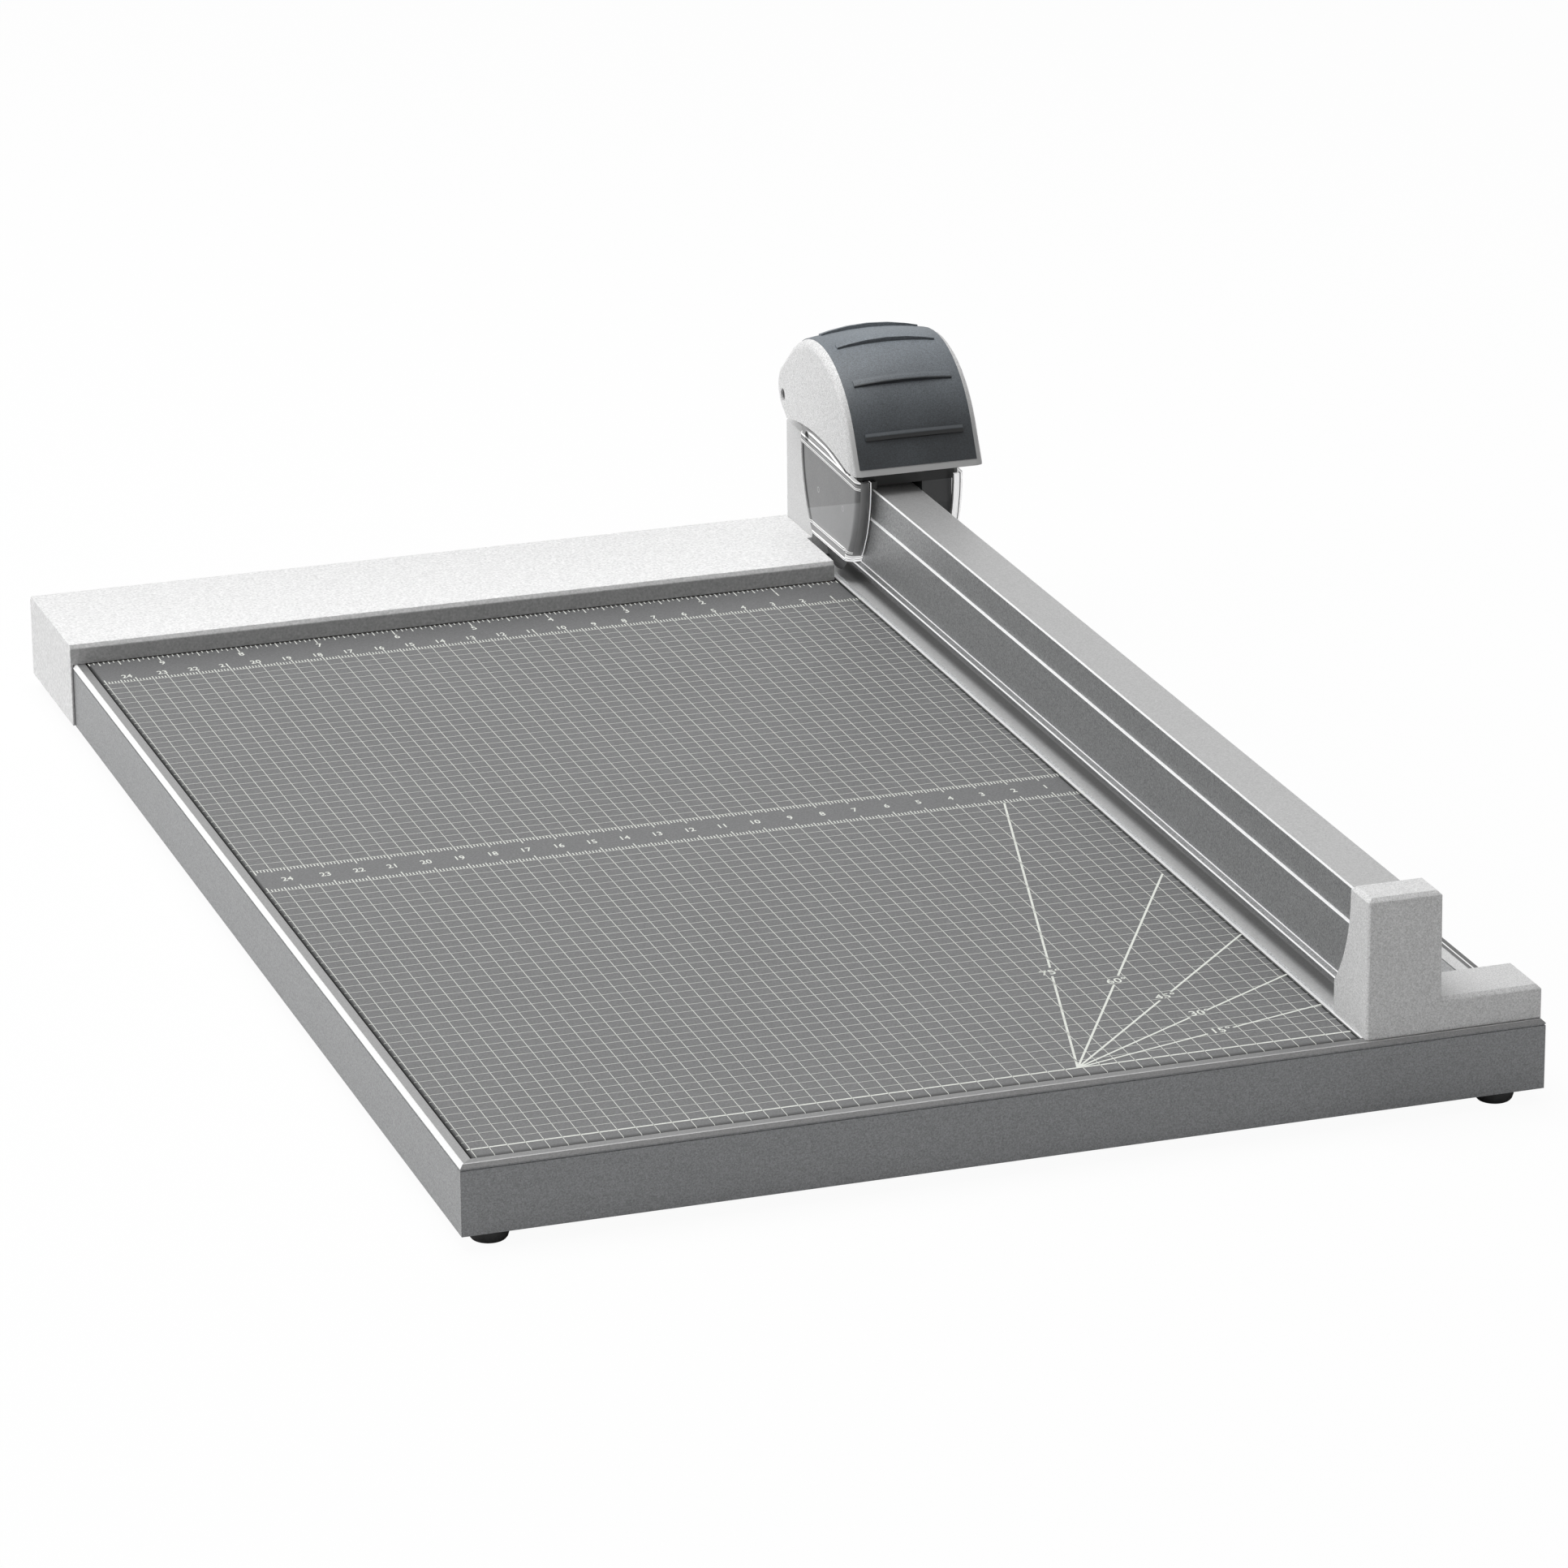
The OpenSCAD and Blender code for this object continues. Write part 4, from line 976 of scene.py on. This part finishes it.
class Base(Shop):
    """The frame, the board, the header, the bed and the feet."""

    def build(self) -> None:
        """Makes and dresses every piece of the base."""
        for node, finish, round_mm, segments in (
                ("left_frame_rail", Bin.LEFT, 0.1, 2), ("right_frame_rail", Bin.RIGHT, 0.1, 2),
                ("front_frame_rail", Bin.FRONT, 0.1, 2), ("rear_frame_rail", Bin.REAR, 0.1, 2),
                ("header_cover", Bin.HEADER, 0.3, 2), ("cutting_mat", Bin.MAT, 0.3, 2),
                ("cutting_bed", Bin.BED, 0.15, 2), ("edge_strip", Bin.STRIP, 0.1, 2),
                ("front_end_block", Bin.BLOCK, 0.5, 3), ("rear_end_block", Bin.WHITE, 0.5, 3),
                ("guide_rail", Bin.RAIL, 0.1, 2), ("lip_strip", Bin.LIP, 0.1, 2),
                ("rubber_feet", Bin.FOOT, 0.4, 3)):
            self.refine(node, finish, round_mm, segments)
        for node, finish in {"corner_keys": Bin.ZINC, "base_board": Bin.BOARD, "lower_knife": Bin.LEDGE,
                             "foot_screws": Bin.ZINC, "rail_screws": Bin.ZINC}.items():
            self.dress(node, finish)


@dataclass(frozen=True)
class Tick:
    """One kind of ruler mark: where it first stands, how often, how long and how wide."""

    first: float
    step: float
    count: int
    length: float
    width: float = 0.32


@dataclass
class MatPrint(Shop):
    """The grid, the rulers, the angle lines and their numbers, in millimetres on the mat."""

    cut: float = 103.0
    top: float = 168.2
    band_top: float = -11.8
    band_foot: float = -30.55
    foot: float = -235.55
    pitch: float = 5.0
    left: float = -148.0
    ink_low: float = 23.97
    ink_high: float = 24.03
    inch: float = 25.4
    centimetre: float = 10.0
    columns: int = 25
    rows: tuple[int, int] = (37, 41)
    upright_half: float = 0.085
    across_half: float = 0.09
    front_half: float = 0.35
    ray_half: float = 0.33
    run_over: Pair = (-0.45, -0.42)
    rays: dict[int, Triple] = field(default_factory=lambda: {
        75: (68.6, 75.2, 211.8), 60: (62.6, 69.9, 152.7), 45: (55.0, 62.4, 111.8),
        30: (48.3, 56.2, 91.3), 15: (43.3, 51.8, 81.9)})
    labels: dict[int, Pair] = field(default_factory=lambda: {
        75: (40.1, -166.4), 60: (54.9, -178.6), 45: (63.2, -194.2), 30: (67.4, -208.9), 15: (67.9, -223.0)})
    origin: Pair = (21.6, -235.55)

    def line(self, x0: float, x1: float, y0: float, y1: float) -> Object:
        """A printed stroke between two corners."""
        return self.box((x0, y0, self.ink_low), (x1, y1, self.ink_high))

    def uprights(self, low: float, high: float, whole: bool, over: bool = False) -> Object:
        """The grid's lines along the cut.

        Args:
            low: Their front end.
            high: Their rear end.
            whole: Whether these are the whole centimetres or the halves between them.
            over: Whether they run on over the mat's front edge.

        Returns:
            The strokes as one object.
        """
        first = self.cut - self.centimetre * (1 if whole else 0.5)
        stroke = self.line(first - self.upright_half, first + self.upright_half, low, high)
        if over:
            bpy.ops.object.mode_set(mode="EDIT")
            bpy.ops.mesh.select_all(action="DESELECT")
            bpy.ops.object.mode_set(mode="OBJECT")
            for face in stroke.data.polygons:
                face.select = face.normal.y < -0.9
            bpy.ops.object.mode_set(mode="EDIT")
            bpy.ops.mesh.extrude_region_move(TRANSFORM_OT_translate={
                "value": (0, self.run_over[0] * MM, self.run_over[1] * MM)})
            bpy.ops.object.mode_set(mode="OBJECT")
        return self.row(stroke, self.columns, (-self.centimetre, 0, 0))

    def marks(self, base: float, way: int, kinds: Sequence[Tick]) -> list[Object]:
        """Ruler marks on a base line, standing to the back where way is 1 and to the front at -1."""
        made = []
        for kind in kinds:
            ends = sorted((base, base + way * kind.length))
            x = self.cut - kind.first
            stroke = self.line(x - kind.width / 2, x + kind.width / 2, *ends)
            made.append(self.row(stroke, kind.count, (-kind.step, 0, 0)))
        return made

    def number(self, text: str, x: float, y: float, size: float, narrow: float) -> Object:
        """A number as a thin raised print.

        Args:
            text: What it says.
            x: Its centre.
            y: Its centre.
            size: The height of its figures.
            narrow: The share of the usual width that its figures have.

        Returns:
            The number as a mesh, with its place in it.
        """
        bpy.ops.object.text_add(location=(x * MM, y * MM, (self.ink_high - 0.02) * MM))
        obj = bpy.context.active_object
        data = obj.data
        data.body, data.size = text, size * MM / 0.69
        data.align_x, data.align_y = "CENTER", "CENTER"
        data.extrude, data.offset = 0.02 * MM, 0.05 * MM
        data.resolution_u = 3
        obj.scale.x = narrow
        self.only(obj)
        bpy.ops.object.convert(target="MESH")
        return self.settle()

    def ray(self, degrees: int) -> list[Object]:
        """One angle line, broken for its label."""
        near, far, end = self.rays[degrees]
        turn = math.radians(degrees)
        made = []
        lift = list(self.rays).index(degrees) * 0.004
        for start, stop in ((0.0, near), (far, end)):
            stroke = self.box((start, -self.ray_half, self.ink_low),
                                   (stop, self.ray_half, self.ink_high + lift))
            stroke.matrix_world = Matrix.Translation(
                Vector((*self.origin, 0)) * MM) @ Matrix.Rotation(turn, 4, "Z")
            self.only(stroke)
            made.append(self.settle())
        return made

    def rulers(self) -> list[Object]:
        """The marks of the centimetre rulers and, at the header, of the inch ruler."""
        metric = [Tick(first, 5, 50, 2.0) for first in (1, 2, 3, 4)]
        metric += [Tick(5, 10, 25, 2.7), Tick(10, 10, 25, 3.8)]
        sixteenth = self.inch / 16
        imperial = [Tick(sixteenth * first, sixteenth * step, count, length, 0.36)
                    for first, step, count, length in ((3, 2, 78, 1.7), (2, 4, 40, 2.5), (4, 8, 20, 3.4),
                                                       (8, 16, 10, 4.0), (16, 16, 9, 4.8))]
        head = span("header_cover")[0].y
        return (self.marks(self.top, 1, metric) + self.marks(self.band_top, -1, metric)
                + self.marks(self.band_foot, 1, metric) + self.marks(head - 0.2, -1, imperial))

    def numbers(self) -> list[Object]:
        """The numbers of the rulers and the labels of the angle lines."""
        made = []
        for value in range(1, self.columns):
            shift = 0.0 if value < 10 else 0.95
            shift = 2.3 if value == self.columns - 1 else shift
            x = self.cut - self.centimetre * value - shift
            made += [self.number(str(value), x, y, 3.0, 0.78) for y in (173.6, -21.4)]
        for value in range(1, 10):
            made.append(self.number(str(value), self.cut - self.inch * value, 182.8, 3.2, 0.8))
        for degrees, (x, y) in self.labels.items():
            made.append(self.number(f"{degrees}°", x, y, 3.3, 0.95))
        return made

    def grid(self, right: float, front: float) -> list[Object]:
        """The thin lines across the cut and along it."""
        made = []
        for start, count in zip((self.top, self.band_foot), self.rows):
            stroke = self.line(self.left, right, start - self.across_half, start + self.across_half)
            made.append(self.row(stroke, count, (0, -self.pitch, 0)))
        for whole in (True, False):
            made += [self.uprights(self.band_top, self.top, whole),
                     self.uprights(front, self.band_foot, whole, True)]
        return made

    def finish(self, name: str, strokes: Sequence[Object]) -> None:
        """Joins strokes into one printed piece."""
        piece = self.join(name, strokes)
        self.paint(piece, Bin.INK)
        self.own(piece, "base")

    def build(self) -> None:
        """Makes the whole print."""
        low, high = span("cutting_mat")
        right, front = high.x - 0.25, low.y + 0.5
        strong = [self.line(self.left, right, self.foot - self.front_half, self.foot + self.front_half)]
        strong += self.rulers()
        for degrees in self.rays:
            strong += self.ray(degrees)
        self.finish("mat_print", strong + self.numbers())
        self.finish("mat_grid", self.grid(right, front))


@dataclass
class Head(Shop):
    """The cutter head: carriage, guards, cap, grip and blade."""

    arch: Triple = (206.0, -64.8, 134.8)
    crest_low: Triple = (100.45, 178.0, 62.7)
    crest_high: Triple = (101.55, 224.0, 70.4)
    arch_deep: float = 3.1
    arch_inset: float = 0.55
    drop_mm: float = 2.3

    def arch_cutter(self, x: float) -> Object:
        """A flat cylinder that cuts the shallow arch under one side of the cap."""
        y, z, radius = self.arch
        bpy.ops.mesh.primitive_cylinder_add(vertices=256, radius=radius * MM, depth=self.arch_deep * MM,
                                            location=(x * MM, y * MM, z * MM), rotation=(0, math.pi / 2, 0))
        return self.settle()

    def crest(self) -> None:
        """Makes the part of the left guard that stands up behind the cap's arch."""
        piece = self.join("left_guard_crest", [self.box(self.crest_low, self.crest_high)])
        self.apply(piece, "BEVEL", width=0.2 * MM, segments=2)
        self.paint(piece, Bin.CLEAR_LEFT)
        self.own(piece, frame["nodes"]["left_guard"]["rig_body"])

    def spring(self) -> None:
        """Makes the lift spring as a piece with a mesh of its own; the real spring shortens from its top as
        the blade carrier goes down.
        """
        piece = self.refine("lift_spring", Bin.ZINC, 0)
        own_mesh(piece)

    def build(self) -> None:
        """Makes and dresses every piece of the head."""
        self.refine("carriage_body", Bin.BLACK, 0.25)
        for node, finish in {"left_guard": Bin.CLEAR_LEFT, "right_guard": Bin.CLEAR_RIGHT}.items():
            self.refine(node, finish, 0.2, 2, 40).visible_shadow = False
        self.crest()
        low, high = span("cap_shell")
        cutters = [self.arch_cutter(low.x + self.arch_inset), self.arch_cutter(high.x - self.arch_inset)]
        self.refine("cap_shell", Bin.CAP, 0.25, 2, 38, cutters)
        self.refine("grip_cover", Bin.GRIP, 0.2, 2, 38)
        self.refine("hinge_pin", Bin.DARK, 0.25, 2)
        self.spring()
        for node, finish in {"glide_pads": Bin.PAD, "guard_screws": Bin.ZINC, "blade_carrier": Bin.ZINC,
                             "carrier_pins": Bin.ZINC, "blade_axle": Bin.ZINC,
                             "blade_hub": Bin.ACETAL, "cutting_disc": Bin.KNIFE}.items():
            self.dress(node, finish)


@dataclass(frozen=True)
class Lamp:
    """A soft square lamp that is turned to the middle of the base: its place, side and watts."""

    name: str
    place: Triple
    size: float
    power: float


@dataclass
class Studio:
    """The camera, the floor, the lamps and the world."""

    lens: float = 162.43
    place: Triple = (-0.60712, -1.87551, 0.72198)
    right: Triple = (0.94763, -0.31926, -0.00877)
    down: Triple = (-0.11375, -0.31172, -0.94334)
    ahead: Triple = (0.29844, 0.89493, -0.33171)
    floor_tone: float = 0.86
    floor_glow: float = 0.95
    gloss_level: float = 0.95
    world_level: float = 0.32
    lamps: tuple[Lamp, ...] = (Lamp("top_box", (-0.3, 0.3, 1.9), 1.6, 31),
                               Lamp("left_box", (-1.9, 0.2, 0.9), 1.2, 14.5))

    def camera(self) -> None:
        """Places the camera where the photograph was taken from."""
        data = bpy.data.cameras.new("photo_camera")
        data.lens, data.sensor_width, data.sensor_fit = self.lens, 36.0, "HORIZONTAL"
        data.clip_start, data.clip_end = 0.05, 50.0
        obj = added("photo_camera", data)
        axes = (Vector(self.right), -Vector(self.down), -Vector(self.ahead))
        obj.matrix_world = Matrix.Translation(self.place) @ Matrix(axes).transposed().to_4x4()
        bpy.context.scene.camera = obj

    @staticmethod
    def hang(lamp: Lamp) -> None:
        """Adds one lamp."""
        data = bpy.data.lights.new(lamp.name, "AREA")
        data.size, data.energy = lamp.size, lamp.power
        obj = added(lamp.name, data)
        obj.location = lamp.place
        obj.rotation_euler = (-Vector(lamp.place)).to_track_quat("-Z", "Y").to_euler()

    def floor(self) -> None:
        """Adds the pale floor, white to the camera but for the object's soft shadow."""
        bpy.ops.mesh.primitive_plane_add(size=30, location=(0, 0, 0))
        floor = bpy.context.active_object
        floor.name = "studio_floor"
        bench = Bench("studio_floor")
        seen = Term(bench, bench.node("ShaderNodeLightPath").outputs["Is Camera Ray"])
        diffuse = bench.node("ShaderNodeBsdfDiffuse", inputs={"Color": grey(self.floor_tone)})
        glow = bench.node("ShaderNodeEmission", inputs={"Color": grey(1.0), "Strength": 1.0})
        mixed = bench.node("ShaderNodeMixShader", inputs={
            0: seen * self.floor_glow, 1: diffuse.outputs[0], 2: glow.outputs[0]})
        bench.node("ShaderNodeOutputMaterial", inputs={0: mixed.outputs[0]})
        floor.data.materials.append(bench.owner)

    def world(self) -> None:
        """A white surround for the eye and for gloss, and a dimmer one as a light."""
        bench = Bench("studio_world", bpy.data.worlds)
        bpy.context.scene.world = bench.owner
        path = bench.node("ShaderNodeLightPath")
        seen, gloss = (Term(bench, path.outputs[name]) for name in ("Is Camera Ray", "Is Glossy Ray"))
        level = seen.either(gloss * self.gloss_level).math("MAXIMUM", self.world_level)
        back = bench.node("ShaderNodeBackground", inputs={"Strength": level})
        bench.node("ShaderNodeOutputWorld", inputs={0: back.outputs[0]})

    def build(self) -> None:
        """Sets up the whole studio."""
        self.camera()
        self.floor()
        self.world()
        for lamp in self.lamps:
            self.hang(lamp)
        bpy.context.scene.view_settings.view_transform = "Standard"


def main() -> None:
    """Builds the studio and the sub-assemblies."""
    logging.basicConfig(level=logging.INFO, format="%(name)s: %(message)s")
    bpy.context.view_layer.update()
    Studio().build()
    for part in (Base(), MatPrint(), Head()):
        part.build()
    bpy.ops.object.select_all(action="DESELECT")


if __name__ == "__main__":
    main()
